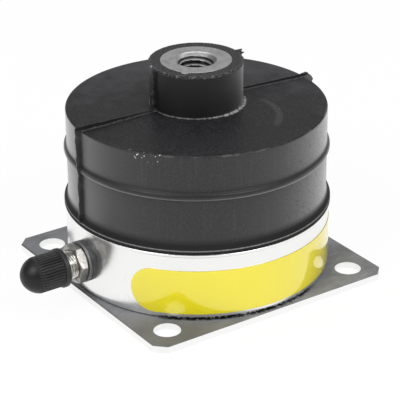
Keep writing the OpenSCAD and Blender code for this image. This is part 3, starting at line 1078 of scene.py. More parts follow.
class Shade:
    """The finishes of the mount, each made once for the pieces that share it."""

    def __init__(
        self, plate: "BasePlate", drum: "RubberDrum", hub: "ThreadedHub", label: "Label", valve: "Valve"
    ) -> None:
        """Works the finishes' own places out from the pieces' sizes.

        Args:
            plate: The plate, for its reach and thickness.
            drum: The drum, for the places of its wear.
            hub: The hub, for its hole.
            label: The label, for its edges.
            valve: The valve, for its axis and the cap's ribs.
        """
        axis = valve.axis
        self.plate = PlatedPlate(plate.half, plate.top, valve.cup_r).material()
        self.cup = PolishedCup(plate.top).material()
        self.steel = TurnedMetal("plain_steel", (0.52, 0.52, 0.52), (0.40, 0.40, 0.40), 0.32).material()
        self.rubber = MouldedRubber(drum).material()
        self.hub = TurnedMetal(
            "turned_steel", (0.72, 0.72, 0.72), (0.46, 0.46, 0.47), 0.36, hole=(hub.core_r, hub.top)
        ).material()
        self.label = LabelFilm(label.low, label.high).material()
        self.brass = TurnedMetal(
            "nickel_brass", (0.74, 0.73, 0.69), (0.30, 0.285, 0.25), 0.22, axis,
            mark_pitch=0.2, mark_depth=0.003,
        ).material()
        self.nut = TurnedMetal(
            "nut_nickel", (0.48, 0.47, 0.445), (0.12, 0.12, 0.115), 0.27, axis,
            mark_pitch=0.2, mark_depth=0.008, stain_size=1.9,
        ).material()
        self.washer = TurnedMetal(
            "washer_steel", (0.24, 0.24, 0.245), (0.15, 0.15, 0.155), 0.36, axis, mark_pitch=0.25
        ).material()
        self.core = TurnedMetal(
            "core_brass", (0.80, 0.62, 0.28), (0.60, 0.44, 0.18), 0.25, axis,
            mark_pitch=0.2, mark_depth=0.003,
        ).material()
        self.wire = TurnedMetal(
            "core_steel", (0.66, 0.66, 0.67), (0.52, 0.52, 0.52), 0.22, axis,
            mark_pitch=0.12, mark_depth=0.002,
        ).material()
        self.grommet = SoftBlack(
            "grommet_rubber", (0.035, 0.035, 0.036), (0.17, 0.17, 0.172), 0.40
        ).material()
        self.seal = SoftBlack("seal_rubber", (0.020, 0.020, 0.022), (0.050, 0.050, 0.053), 0.45).material()
        self.cap = SoftBlack(
            "cap_plastic", (0.004, 0.004, 0.0045), (0.036, 0.036, 0.038), 0.36, grain=0.25, grain_depth=0.004,
            ior=1.42, ribs=(axis, valve.cap_root_r, valve.cap_r),
        ).material()
        self.sleeve = SoftBlack(
            "core_sleeve_plastic", (0.78, 0.76, 0.70), (0.70, 0.67, 0.60), 0.35, grain=0.4, grain_depth=0.002
        ).material()


# Pieces


@dataclass
class BasePlate:
    """Square plate with cut corners and four bolt holes, its edges broken by handling."""

    half: float = field(init=False)
    top: float = field(init=False)
    edge_break: float = 0.16
    edge_steps: int = 3
    flat_angle: float = 1.0
    sharp_angle: float = 40.0

    def __post_init__(self) -> None:
        """Reads the plate's reach and thickness from its solid."""
        _, high = spread("base_plate")
        self.half, self.top = float(high[0]), float(high[2])

    def build(self, shade: Shade) -> None:
        """Copies the plate's solid, joins its triangles and rounds its sharp edges.

        Args:
            shade: The finishes.
        """
        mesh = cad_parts["base_plate"].data.copy()
        work = bmesh.new()
        work.from_mesh(mesh)
        flat = math.radians(self.flat_angle)
        bmesh.ops.remove_doubles(work, verts=work.verts, dist=MERGE_GAP)
        bmesh.ops.dissolve_limit(work, angle_limit=flat, verts=work.verts, edges=work.edges)
        work.to_mesh(mesh)
        work.free()
        piece = finished("plate_sheet", mesh, crease=30, side=Side.AS_MADE)
        bevel = piece.modifiers.new("edge_break", "BEVEL")
        bevel.width = self.edge_break * MM
        bevel.segments = self.edge_steps
        bevel.angle_limit = math.radians(self.sharp_angle)
        bevel.harden_normals = True
        seat(piece, Body.HOUSING, "plated_plate", shade.plate, "base_plate")


@dataclass
class Housing:
    """Drawn cup and the angle-section ring that closes its mouth."""

    cup_r: float = field(init=False)
    low: float = field(init=False)
    top: float = field(init=False)
    ring_r: float = field(init=False)
    wall: float = 1.5
    corner_r: float = 0.5
    inner_corner_r: float = 0.8
    rim_edge: float = 0.25
    ring_t: float = 0.8
    ring_edge: float = 0.2
    ring_wall_r: float = 32.8
    ring_high: float = 31.5
    hole_r: float = 4.73
    hole_z: float = 11.8
    columns: int = 360
    hole_columns: int = 64

    def __post_init__(self) -> None:
        """Reads the radii and heights from the solids."""
        low, high = spread("housing_cup")
        self.cup_r, self.low, self.top = float(high[1]), float(low[2]), float(high[2])
        self.ring_r = float(spread("bond_ring")[1][1])

    def build(self, shade: Shade) -> None:
        """Turns the cup and the ring, and cuts the valve's hole in the cup.

        Args:
            shade: The finishes.
        """
        inner_r, floor_z = self.cup_r - self.wall, self.low + self.wall
        cup = rounded([
            (0, self.low, 0), (self.cup_r, self.low, self.corner_r), (self.cup_r, self.top, self.rim_edge),
            (inner_r, self.top, self.rim_edge), (inner_r, floor_z, self.inner_corner_r), (0, floor_z, 0),
        ], steps=12)
        angles = full_circle(self.columns)
        piece = surface("drawn_cup", turned(finer(cup, step=1.4), angles))
        self.drill(piece)
        seat(piece, Body.HOUSING, "bright_zinc", shade.cup, "housing_cup")
        flange_z, leg_r = self.top + self.ring_t, self.ring_wall_r + self.ring_t
        ring = rounded([
            (self.ring_wall_r, self.top + 0.1, 0), (self.ring_wall_r, self.top, 0),
            (self.ring_r, self.top, self.ring_edge), (self.ring_r, flange_z, self.ring_edge),
            (leg_r, flange_z, 0), (leg_r, self.ring_high, 0), (self.ring_wall_r, self.ring_high, 0),
        ], steps=4)
        piece = surface("mouth_ring", turned(finer(ring, step=1.2), angles), wrap_rows=True)
        seat(piece, Body.HOUSING, "bright_zinc", shade.cup, "bond_ring")

    def drill(self, piece: bpy.types.Object) -> None:
        """Cuts the valve's hole through the cup's wall with a Boolean, and applies it.

        Args:
            piece: The cup.
        """
        angle = full_circle(self.hole_columns)
        reach = np.array([self.cup_r - 3 * self.wall, self.cup_r + 2 * self.wall])[:, None]
        ring = np.stack(np.broadcast_arrays(
            -reach, self.hole_r * np.sin(angle), self.hole_z + self.hole_r * np.cos(angle)
        ), -1)
        middle = ring.mean(1, keepdims=True).repeat(len(angle), 1)
        plug = surface("hole_tool", np.concatenate([middle[:1], ring, middle[1:]]))
        cut = piece.modifiers.new("valve_hole", "BOOLEAN")
        cut.object = plug
        cut.solver = "EXACT"
        bpy.context.view_layer.update()
        shaped = bpy.data.meshes.new_from_object(piece.evaluated_get(bpy.context.evaluated_depsgraph_get()))
        piece.modifiers.clear()
        piece.data = shaped
        shaped.name = piece.name
        bpy.data.objects.remove(plug)
        smoothed(shaped, CREASE)


@dataclass(frozen=True)
class HubBed:
    """Sizes of the hub's flange and body, which the rubber is moulded round."""

    body_r: float = 9.8
    flange_r: float = 21.0
    flange_low: float = 43.0
    flange_high: float = 45.5
    edge_r: float = 0.6
    fillet: float = 1.5

    def outline(self, end_z: float, steps: int) -> Array:
        """Outline from the axis round the flange and up the body to a height."""
        return rounded([
            (0, self.flange_low, 0), (self.flange_r, self.flange_low, self.edge_r),
            (self.flange_r, self.flange_high, self.edge_r), (self.body_r, self.flange_high, self.fillet),
            (self.body_r, end_z, 0),
        ], steps)


@dataclass
class RubberDrum:
    """Hollow moulded drum with its bead, boss and lip, and the torn fin of the mould's parting line.

    West is the valve's side and east the other. Pairs give a height at the boss and at the rim, or
    on the side at its foot and at its rim.
    """

    boss_top: float = field(init=False)
    lip_r: float = field(init=False)
    hub: HubBed = HubBed()
    foot: float = 21.5
    lip_t: float = 1.1
    side_r: float = 36.1
    flare_h: float = 3.0
    flare_out: float = 1.2
    bead_z: float = 38.0
    bead_r: float = 1.1
    bead_out: float = 0.8
    bead_blend: float = 0.02
    top: float = 49.4
    crown_h: float = 0.5
    rim_r: float = 0.45
    boss_r: float = 12.85
    foot_r: float = 0.5
    foot_w: float = 1.1
    mouth_h: float = 1.3
    sunk: float = 0.04
    ring_ri: float = 32.8
    ring_ro: float = 33.6
    ring_high: float = 31.5
    mouth: float = 20.7
    chamber_r: float = 29.5
    chamber_top: float = 41.0
    chamber_fillet: float = 5.0
    parting_turn: float = 2.6
    fin_half: float = 0.17
    fin_foot: float = 0.40
    fin_side_west: tuple = (1.40, 1.75)
    fin_side_east: float = 1.1
    fin_top_west: tuple = (0.75, 1.45)
    fin_top_east: tuple = (0.90, 1.10)
    fin_boss_west: float = 0.85
    fin_boss_east: float = 0.6
    notch: float = 0.35
    notch_drop: float = 1.6
    flake_h: float = 0.85
    flake_z: tuple = ((50.2, 51.4), (54.9, 55.8))
    teeth_h: float = 1.35
    teeth_z: tuple = (59.6, 60.0)
    ledge_w: float = 0.52
    ledge_h: float = 0.28
    lump_out: float = 1.05
    lump_up: float = 0.95
    lump_r: float = 38.05
    lump_span: tuple = ((-3.8, -2.6), (0.8, 1.7))
    groove_r: tuple = (0.35, 0.75)
    flash_h: float = 0.38
    flash_w: float = 0.17

    def __post_init__(self) -> None:
        """Reads the boss's height and the lip's radius from the solids."""
        self.boss_top = float(spread("rubber_body")[1][2])
        self.lip_r = float(spread("bond_ring")[1][1])

    @property
    def lip_z(self) -> float:
        """Height of the lip's upper face."""
        return self.foot + self.lip_t

    def angles(self) -> Array:
        """Angles of the columns, close together at the parting line and wide apart between."""
        quarter = np.concatenate([
            np.arange(0, 0.8, 0.08), np.arange(0.8, 2, 0.15), np.arange(2, 8, 0.4), np.arange(8, 90, 1.5)
        ])
        half = np.concatenate([-quarter[:0:-1], quarter])
        return np.radians(np.concatenate([half, half + 180]) - self.parting_turn)

    def bed(self) -> Array:
        """Outline from the axis round the hub's flange to the hub's mouth in the boss."""
        return finer(self.hub.outline(self.boss_top - 0.75, steps=3), step=3.5)

    def skin(self) -> Array:
        """Outline of all that shows, from the hub's mouth down to the lip's underside.

        The flare is an arc that leaves the side upright. Its radius is the sum of the squares of
        its reach and its height over twice the reach.

        Returns:
            The outline's points, close together where the bead and the edges are.
        """
        side, boss, hub_r = self.side_r, self.boss_r, self.hub.body_r
        mouth_z, face_z, edge_z = (self.boss_top - drop for drop in (0.6, self.sunk, 1.6))
        flare_z = self.lip_z + self.flare_h
        flare_r = (self.flare_out**2 + self.flare_h**2) / (2 * self.flare_out)
        flare_a = math.degrees(math.asin(self.flare_h / flare_r))
        flare = arc((side + flare_r, flare_z), flare_r, 180, 180 + flare_a, steps=9)
        top, foot_end = self.top, self.boss_r + self.foot_w
        stretches = (
            ([(hub_r, mouth_z, 0), (hub_r, face_z, 0), (boss, face_z, 0), (boss, edge_z, 0)], 0.15),
            ([(boss, edge_z, 0), (boss, top + 2, 0)], 0.4),
            ([(boss, top + 2, 0), (boss, top, self.foot_r), (foot_end, top, 0)], 0.13),
            ([(foot_end, top, 0), (side, top, self.rim_r), (side, top - 2, 0)], 0.42),
            ([(side, top - 2, 0), (side, self.bead_z + 2, 0)], 0.42),
            ([(side, self.bead_z + 2, 0), (side, self.bead_z - 2, 0)], 0.16),
            ([(side, self.bead_z - 2, 0), (side, flare_z, 0)], 0.45),
        )
        paths = [finer(rounded(corners, steps=5), step) for corners, step in stretches]
        lip = rounded([
            (float(flare[-2, 0]), float(flare[-2, 1]), 0), (self.lip_r, self.lip_z, 0.14),
            (self.lip_r, self.foot, 0.1), (self.lip_r - 0.5, self.foot, 0),
        ], steps=3)
        return np.vstack([paths[0], *(path[1:] for path in paths[1:]), flare[1:-2], lip])

    def hollow(self) -> Array:
        """Outline from the lip's underside round the ring's slot and the air chamber to the axis."""
        return finer(rounded([
            (self.lip_r - 0.6, self.foot, 0), (self.ring_ro, self.foot, 0), (self.ring_ro, self.ring_high, 0),
            (self.ring_ri, self.ring_high, 0), (self.ring_ri, self.mouth, 0), (self.chamber_r, self.mouth, 0),
            (self.chamber_r, self.chamber_top, self.chamber_fillet), (0, self.chamber_top, 0),
        ], steps=6), step=4.5)

    def fin_height(self, radius: Array, height: Array, west: Array) -> tuple[Array, Array]:
        """How far the parting fin stands out of the side or boss, and above the top.

        Each height is a little irregular along the fin. The side's is lower in a notch below the
        bead. The boss's has a torn flake near its foot in the west and teeth at its mouth in the
        east, and nothing stands above the mouth.

        Args:
            radius: Radii of the outline's rows.
            height: Heights of the rows.
            west: 1 on the valve's side and 0 on the other.

        Returns:
            The fin's height across and up, in millimetres.
        """
        foot, rim = self.fin_side_west
        side = (foot + (rim - foot) * smooth(height, 26, 49)) * west + self.fin_side_east * (1 - west)
        side = side * (1 + 0.07 * ragged(height, 1.0, 4.6)) * smooth(height, self.foot + 0.6, self.foot + 2.4)
        side = side - self.notch * np.exp(-((height - self.bead_z + self.notch_drop) ** 2))
        boss_west = self.fin_boss_west + self.flake_h * band(height, *self.flake_z)
        boss_west = boss_west + 0.06 * ragged(height, 2.0, 2.7)
        teeth = smooth(height, *self.teeth_z) * (self.teeth_h + 0.75 * ragged(height, 5.0, 1.5))
        boss_east = self.fin_boss_east + 0.18 * ragged(height, 3.0, 3.1) + np.maximum(teeth, 0)
        boss = boss_west * west + boss_east * (1 - west)
        across = np.where(radius > self.chamber_r, np.maximum(side, 0), np.maximum(boss, 0.1))
        share = smooth(radius, self.boss_r, self.side_r)
        (west_low, west_high), (east_low, east_high) = self.fin_top_west, self.fin_top_east
        up_west = (west_low + (west_high - west_low) * share) * (1 + 0.07 * ragged(radius, 4.0, 4.9))
        up_east = (east_low + (east_high - east_low) * share) * (1 + 0.09 * ragged(radius, 6.0, 3.8))
        up = up_west * west + up_east * (1 - west)
        return across, np.where(height > self.boss_top - self.mouth_h, 0, up)

    def bead(self, height: Array) -> Array:
        """How far the bead stands out of the side.

        It is a round section about a centre inside the side, with steep lines where the section
        ends. A smooth maximum joins it to the side: half the rise plus the root of its square and
        a small number.

        Args:
            height: Heights of the outline.

        Returns:
            The bead's reach, 0 beyond 2 mm from its middle.
        """
        off, inset = np.abs(height - self.bead_z), self.bead_r - self.bead_out
        rise = np.sqrt(np.maximum(self.bead_r**2 - off**2, 0)) - inset
        rise = np.where(off > self.bead_r, -inset - 3 * (off - self.bead_r), rise)
        return np.where(off < 2.01, (rise + np.sqrt(rise**2 + self.bead_blend)) / 2, 0)

    def shaped(self, path: Array, angle: Array) -> Array:
        """Turns the skin and adds the bead, the fin and its ledge, the rim's lump and ragged edges.

        The fin's share is 1 within its half thickness of a slightly wavy line, which is turned
        from the X axis by parting_turn, and falls smoothly to 0 at its foot. The fin moves a point
        along the outline's normal, scaled so that its greater part is 1, which keeps the fin's own
        corner square. In front of the line a ragged ledge rises. The top is crowned towards the
        boss, and the side is out of round by a few hundredths of a millimetre.

        Args:
            path: The skin's outline.
            angle: Angles of the columns.

        Returns:
            Rows by columns by three coordinates.
        """
        r0, z0 = path[:, :1], path[:, 1:]
        tangent = unit(np.gradient(path, axis=0))
        normal_r, normal_z = -tangent[:, 1:], tangent[:, :1]
        square = np.maximum(np.abs(normal_r), np.abs(normal_z))
        angle = angle[None]
        line = angle + math.radians(self.parting_turn)
        west = (np.cos(line) < 0).astype(float)
        behind = r0 * np.sin(line)
        on_side, below_mouth = r0 > self.side_r - 1, z0 < self.boss_top - self.mouth_h
        along = np.where(on_side, z0, r0 + z0)
        wander = 0.10 * np.sin(along * 0.9 + 3 * west) + 0.05 * np.sin(along * 2.3)
        off = behind - wander * np.where(on_side, 1.0, 0.5)
        share = 1 - smooth(np.abs(off), self.fin_half, self.fin_foot)
        across, up = self.fin_height(r0, z0, west)
        step = self.ledge_h * (0.75 + 0.35 * ragged(along, 16.0, 2.2)) * below_mouth * (off < 0)
        step = step * (1 - smooth(-off, self.ledge_w - 0.12, self.ledge_w + 0.12))
        bead = np.where(r0 > self.side_r - 0.01, self.bead(z0), 0)
        above_lip = z0 > self.foot + 0.2
        r, z = self.trimmed(r0, z0, angle)
        r = r + np.where(above_lip, np.maximum(bead, across * share * normal_r / square), 0)
        z = z + np.where(above_lip, np.maximum(up * share, step) * normal_z / square, 0)
        by_boss = (r0 < self.boss_r + 3) & below_mouth
        step = step * (r0 > self.boss_r + 0.3)
        r = np.where(by_boss, np.maximum(r, self.boss_r + across * share), r)
        z = np.where(by_boss, np.maximum(z, self.top + np.maximum(up * share, step)), z)
        r, z = self.lump(r0, z0, r, z, behind, west)
        z = z + self.foot_flash(r0, z0, angle) + self.crown(r0, z0)
        slow = 0.035 * np.sin(3 * angle + 1.1) + 0.02 * np.sin(7 * angle + 0.4)
        r = r + np.where(r0 > self.side_r - 0.6, slow * smooth(z0, self.foot + 1, self.foot + 5), 0)
        return about_hub(r, angle, z)

    def crown(self, r0: Array, z0: Array) -> Array:
        """Rise of the top, which falls from the boss's foot to the rim and fades up the boss.

        Args:
            r0: Radii of the outline.
            z0: Heights of the outline.

        Returns:
            The rise of each point.
        """
        on_top = (z0 < self.top + 2.1) * (z0 > self.top - 1)
        fall = on_top * (1 - smooth(r0, self.boss_r, self.side_r - 1))
        return self.crown_h * fall * (1 - smooth(z0, self.top + 0.6, self.top + 2))

    def lump(
        self, r0: Array, z0: Array, r: Array, z: Array, behind: Array, west: Array
    ) -> tuple[Array, Array]:
        """Adds the tab of torn flash on the rim, away from the valve.

        Its reach outwards falls smoothly with the distance from the rim's corner and past either
        end. Its rise also falls towards the front.

        Args:
            r0: Radii of the outline.
            z0: Heights of the outline.
            r: Radii so far.
            z: Heights so far.
            behind: Distance behind the parting line.
            west: 1 on the valve's side.

        Returns:
            The new radii and heights.
        """
        off = np.maximum(self.side_r - r0, 0) + np.maximum(self.top - z0, 0)
        window = (1 - smooth(off, 0.35, 1.5)) * (1 - west) * band(behind, *self.lump_span)
        window = window * (1 + 0.05 * ragged(behind, 7.0, 2.3))
        rise = 0.45 + 0.55 * smooth(behind, -3.0, -1.0)
        r = np.maximum(r, r0 + self.lump_out * window)
        return np.minimum(r, self.lump_r), np.maximum(z, z0 + self.lump_up * window * rise)

    def trimmed(self, r0: Array, z0: Array, angle: Array) -> tuple[Array, Array]:
        """Cuts the boss's edge back and opens the groove between its mouth and the hub.

        A cone at 45 degrees cuts the edge: what reaches past it by s moves back by s / 2 both ways.
        The cut is deeper at the front, and its depth is an irregular value along the edge. At the
        back a thin flash is left standing out instead, and the mouth sinks beside the hub.

        Args:
            r0: Radii of the outline.
            z0: Heights of the outline.
            angle: Angles of the columns.

        Returns:
            The new radii and heights.
        """
        along = self.boss_r * angle
        degrees = np.mod(np.degrees(angle), 360)
        front = band(degrees, (165, 205), (300, 335))
        torn = 0.10 * ragged(along, 8.0, 6.7) + 0.07 * ragged(along, 9.0, 1.6)
        depth = 0.10 + 0.55 * front + torn * (0.35 + 0.65 * front)
        near = (r0 < self.boss_r + 0.01) & (z0 > self.boss_top - 2)
        past = np.where(near, (r0 - self.boss_r) + (z0 - self.boss_top) + depth, 0)
        r = r0 - np.maximum(past, 0) / 2
        z = z0 - np.maximum(past, 0) / 2
        edge = np.exp(-(((z0 - self.boss_top + 0.3) / 0.22) ** 2)) * (r0 > self.boss_r - 0.01)
        r = r + (1 - front) * edge * np.maximum(0.16 + 0.14 * ragged(along, 11.0, 2.9), 0)
        groove = (1 - band(degrees, (195, 215), (265, 300))) * (0.42 + 0.12 * ragged(along, 12.0, 9.0))
        groove = groove * (1 - smooth(r0 - self.hub.body_r, *self.groove_r))
        bed = self.boss_top - self.sunk - groove
        return r, np.where(near & (r0 < self.boss_r - 1), np.minimum(z, bed), z)

    def foot_flash(self, r0: Array, z0: Array, angle: Array) -> Array:
        """Height of the thin torn flash that stands round the boss's foot.

        It is a ridge whose section falls as the exponential of minus the square of the distance
        from its middle over its width. It is highest and widest at the right.

        Args:
            r0: Radii of the outline.
            z0: Heights of the outline.
            angle: Angles of the columns.

        Returns:
            The rise of each point.
        """
        along = self.boss_r * angle
        degrees = np.mod(np.degrees(angle), 360)
        fall = 1 - smooth(degrees, 335, 350)
        right = smooth(degrees, 235, 295) * fall
        strong = np.maximum(0.55 * smooth(degrees, 182, 195), right) * fall
        middle = self.boss_r + 0.24 + 0.22 * right + 0.06 * ragged(along, 13.0, 4.3)
        width = self.flash_w + 0.36 * right * (1 + 0.4 * ragged(along, 15.0, 3.1))
        ring = np.exp(-(((r0 - middle) / width) ** 2)) * (z0 < self.top + 0.4) * (r0 < self.boss_r + 2)
        height = (self.flash_h + 0.10 * right) * np.maximum(0.7 + 0.55 * ragged(along, 10.0, 2.0), 0.05)
        return height * ring * strong

    def build(self, shade: Shade) -> None:
        """Makes the drum as one closed surface from axis to axis.

        Args:
            shade: The finishes.
        """
        angle = self.angles()
        points = np.concatenate([
            turned(self.bed(), angle), self.shaped(self.skin(), angle), turned(self.hollow(), angle)
        ])
        piece = surface("rubber_drum", points, crease=55)
        seat(piece, Body.HOUSING, "moulded_rubber", shade.rubber, "rubber_body")


@dataclass
class ThreadedHub:
    """Flanged steel hub with a tapped hole, a worn countersink and a burr on its face."""

    top: float = field(init=False)
    bed: HubBed = HubBed()
    core_r: float = 4.25
    pitch: float = 1.5
    thread_depth: float = 0.78
    hole_depth: float = 15.0
    drill_angle: float = 59.0
    sink_r: float = 5.9
    edge_r: float = 0.08
    burr_span: tuple = ((211, 214), (224, 228))
    burr_w: float = 1.35
    dent_depth: float = 0.14
    columns: int = 240

    def __post_init__(self) -> None:
        """Reads the hub's top from its solid."""
        self.top = float(spread("threaded_hub")[1][2])

    def build(self, shade: Shade) -> None:
        """Turns the hub, with its thread as a screw-shaped wave on the hole's wall.

        The hole's radius is the core's radius plus the thread's depth times one minus the wave,
        or the countersink's cone where that is wider. The wave fades at the bottom of the hole.

        Args:
            shade: The finishes.
        """
        body_r, shoulder = self.bed.body_r, self.top - 1
        outside = finer(self.bed.outline(shoulder, steps=4), step=0.9)
        face = finer(rounded([
            (body_r, shoulder, 0), (body_r, self.top, self.edge_r),
            (self.sink_r, self.top, 0.12), (self.sink_r - 0.25, self.top - 0.25, 0),
        ], steps=4), step=0.3)
        angle = full_circle(self.columns)[None]
        low = self.top - self.hole_depth
        wall_z = np.arange(self.top - 0.3, low, -self.pitch / 13)[:, None]
        wave = thread_wave(wall_z, angle, self.pitch)
        thread_r = self.core_r + self.thread_depth * (1 - wave) * smooth(wall_z, low, low + 1.2)
        uneven = 0.10 * np.sin(angle - 2.2) + 0.04 * np.sin(3 * angle)
        cone_r = self.sink_r - (self.top - wall_z) + uneven * smooth(-wall_z, -self.top, 0.9 - self.top)
        tip = low - self.core_r / math.tan(math.radians(self.drill_angle))
        drill = finer(np.array([(self.core_r, low), (0, tip)]), step=1.0)
        points = np.concatenate([
            turned(outside, angle), self.chipped(face[1:], angle),
            about_hub(np.maximum(thread_r, cone_r), angle, wall_z), turned(drill, angle),
        ])
        piece = surface("hub_body", points, crease=40)
        seat(piece, Body.HOUSING, "turned_steel", shade.hub, "threaded_hub")

    def chipped(self, path: Array, angle: Array) -> Array:
        """Turns the face, dents its rim and spreads a thin burr from it over the rubber.

        The burr's share is smooth along the rim and irregular, and only the rim's own rows move.

        Args:
            path: The face's outline.
            angle: Angles of the columns.

        Returns:
            Rows by columns by three coordinates.
        """
        radius, height = path[:, :1], path[:, 1:]
        past_rim = radius - self.bed.body_r
        burr = band(np.mod(np.degrees(angle), 360), *self.burr_span)
        rim = smooth(past_rim, -0.25, -0.05) * (height > self.top - 0.07)
        torn = 0.75 + 0.45 * ragged(self.bed.body_r * angle, 14.0, 1.7)
        dent = burr * np.exp(-(((past_rim + 0.9) / 0.45) ** 2)) * (height > self.top - 0.2)
        return about_hub(radius + self.burr_w * rim * burr * torn, angle, height - self.dent_depth * dent)


@dataclass
class Label:
    """Film strip with round ends, wrapped round the cup."""

    low: float = field(init=False)
    high: float = field(init=False)
    outer_r: float = field(init=False)
    thickness: float = 0.15
    edge_drop: float = 0.03
    facing: float = 270.0
    wrap: float = 126.0
    cup_r: float = 36.9
    rows: int = 24
    columns: int = 220

    def __post_init__(self) -> None:
        """Reads the label's height and outer radius from its solid."""
        low, high = spread("label")
        self.low, self.high = float(low[2]), float(high[2])
        self.outer_r = -float(low[1])

    def build(self, shade: Shade) -> None:
        """Wraps the strip round the cup.

        A point's distance along the strip is spread so that it lies closer together at the ends.
        The half height there is the root of end radius squared minus distance into the end
        squared. The outside, whose first and last rows lie a little deeper, is followed by the
        inside, which closes the film all round.

        Args:
            shade: The finishes.
        """
        end_r = (self.high - self.low) / 2
        half_length = math.radians(self.wrap / 2) * self.cup_r
        along = half_length * np.sin(np.linspace(-math.pi / 2, math.pi / 2, self.columns))
        into_end = np.maximum(np.abs(along) - (half_length - end_r), 0)
        half_height = np.sqrt(np.maximum(end_r**2 - into_end**2, 0))
        share = np.linspace(-1, 1, self.rows)[:, None]
        height = (self.low + self.high) / 2 + share * half_height
        angle = math.radians(self.facing) + along / self.cup_r
        outside = about_hub(self.outer_r - self.edge_drop * (np.abs(share) == 1), angle, height)
        inside = about_hub(self.outer_r - self.thickness, angle, height)[::-1]
        points = np.concatenate([outside, inside])
        piece = surface("label_strip", points, wrap_rows=True, wrap_columns=False)
        seat(piece, Body.HOUSING, "label_film", shade.label, "label")


@dataclass
class Valve:
    """Inflation valve in the cup's side: stem, grommet, washer, nut and ribbed cap, along -X.

    A name that ends in _u is a distance from the mount's axis, out along the valve.
    """

    axis: float = 11.8
    cup_r: float = 36.9
    cup_ri: float = 35.4
    seat_gap: float = 0.03
    stem_r: float = 3.87
    stem_pitch: float = 0.794
    stem_depth: float = 0.44
    head_r: float = 6.2
    head_u: float = 33.2
    head_t: float = 1.8
    tip_u: float = 52.7
    tip_chamfer: float = 0.35
    mouth_r: float = 3.35
    plug_r: float = 2.53
    plug_u: float = 48.5
    cone_r: float = 2.03
    cone_u: float = 46.9
    barrel_r: float = 2.05
    barrel_u: tuple = (46.6, 36.95)
    inlet_r: float = 1.7
    inlet_u: float = 36.65
    grommet_r: float = 5.7
    grommet_u: float = 38.2
    grommet_edge: float = 0.4
    spigot_r: float = 4.7
    washer_r: float = 5.8
    washer_u: float = 39.0
    nut_af: float = 10.0
    nut_u: float = 41.6
    nut_turn: float = 37.6
    nut_chamfer: float = 0.35
    nut_cone: float = 30.0
    nut_blunt: float = 28.6
    cap_u: float = 44.4
    cap_length: float = 12.5
    cap_r: float = 5.05
    cap_root_r: float = 4.79
    cap_collar_r: float = 5.5
    cap_collar_l: float = 1.6
    cap_ribs: int = 40
    rib_start: float = 0.50
    cap_bore_r: float = 3.95
    cap_bore_l: float = 9.08
    cap_groove: float = 0.3
    spring_wire_r: float = 0.12
    spring_turns: int = 8
    pin_travel: float = 1.0

    @property
    def bore_r(self) -> float:
        """Radius of the holes that the stem passes through."""
        return self.stem_r + self.seat_gap

    def around(self, radius: Array, angle: Array, along: Array) -> Array:
        """Points at a radius and angle about the valve's axis, at a distance out of the mount."""
        radius, angle, along = np.broadcast_arrays(radius, angle, along)
        return np.stack([-along, radius * np.sin(angle), self.axis + radius * np.cos(angle)], -1)

    def turned(self, path: Array, angle: Array) -> Array:
        """An outline of radii and distances turned about the valve's axis."""
        return self.around(path[:, :1], angle, path[:, 1:])

    def build(self, shade: Shade) -> None:
        """Makes the valve's pieces from the cup outwards, and gives the core's spring a mesh of its own.

        Args:
            shade: The finishes.
        """
        seat(self.stem(), Body.HOUSING, "nickel_brass", shade.brass, "valve_stem")
        seat(self.grommet(), Body.HOUSING, "seal_rubber", shade.grommet, "outer_grommet")
        seat(self.washer(), Body.HOUSING, "washer_steel", shade.washer, "valve_washer")
        seat(self.nut(), Body.HOUSING, "nickel_brass", shade.nut, "valve_nut")
        seat(self.cap(), Body.CAP, "cap_plastic", shade.cap, "valve_cap")
        coil = seat(self.spring(), Body.HOUSING, "core_steel", shade.wire, "core_spring")
        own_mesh(coil)

    def stem(self) -> bpy.types.Object:
        """The stem: head, screw thread, and the stepped bore that holds the core.

        Returns:
            The stem's object.
        """
        angle = full_circle(112)[None]
        start, seat_u = self.head_u - self.head_t, self.head_u - self.seat_gap
        thread_u = np.arange(self.head_u, self.tip_u - 0.3, self.stem_pitch / 10)[:, None]
        crest = self.stem_r - self.tip_chamfer * smooth(thread_u, self.tip_u - 0.9, self.tip_u - 0.3)
        fade = smooth(thread_u, self.head_u + 0.2, self.head_u + 1.2)
        thread_r = crest - self.stem_depth * thread_wave(thread_u, angle, self.stem_pitch) * fade
        bore = finer(rounded([
            (self.mouth_r, self.tip_u, 0), (self.plug_r, self.tip_u, 0), (self.plug_r, self.plug_u, 0),
            (self.cone_r, self.cone_u, 0), (self.barrel_r, self.barrel_u[0], 0),
            (self.barrel_r, self.barrel_u[1], 0), (self.inlet_r, self.inlet_u, 0), (self.inlet_r, start, 0),
            (self.head_r, start, 0.4), (self.head_r, seat_u, 0.1), (self.stem_r, seat_u, 0),
        ], steps=3), step=1.5)
        points = np.concatenate([self.around(thread_r, angle, thread_u), self.turned(bore, angle)])
        return surface("stem_thread", points, wrap_rows=True, crease=40)

    def grommet(self) -> bpy.types.Object:
        """The grommet: its inner face follows the cup, and its spigot fills the cup's hole.

        On the cup, a point's distance out is the root of the cup's radius squared minus y squared.

        Returns:
            The grommet's object.
        """
        angle = full_circle(144)[None]
        spigot_u = math.sqrt(self.cup_ri**2 - self.spigot_r**2)
        outer = finer(rounded([
            (self.bore_r, spigot_u, 0), (self.bore_r, self.grommet_u, 0),
            (self.grommet_r, self.grommet_u, self.grommet_edge),
            (self.grommet_r + 0.05, self.cup_r + 0.5, 0.3),
        ], steps=4), step=0.5)
        seat_r = np.linspace(self.grommet_r, self.spigot_r, 6)[:, None]
        seat_u = np.sqrt((self.cup_r + self.seat_gap) ** 2 - (seat_r * np.sin(angle)) ** 2)
        spigot = finer(np.array([(self.spigot_r, self.cup_r - 0.6), (self.spigot_r, spigot_u)]), step=0.6)
        points = np.concatenate([
            self.turned(outer, angle), self.around(seat_r, angle, seat_u), self.turned(spigot, angle)
        ])
        return surface("grommet_ring", points, wrap_rows=True, crease=50)

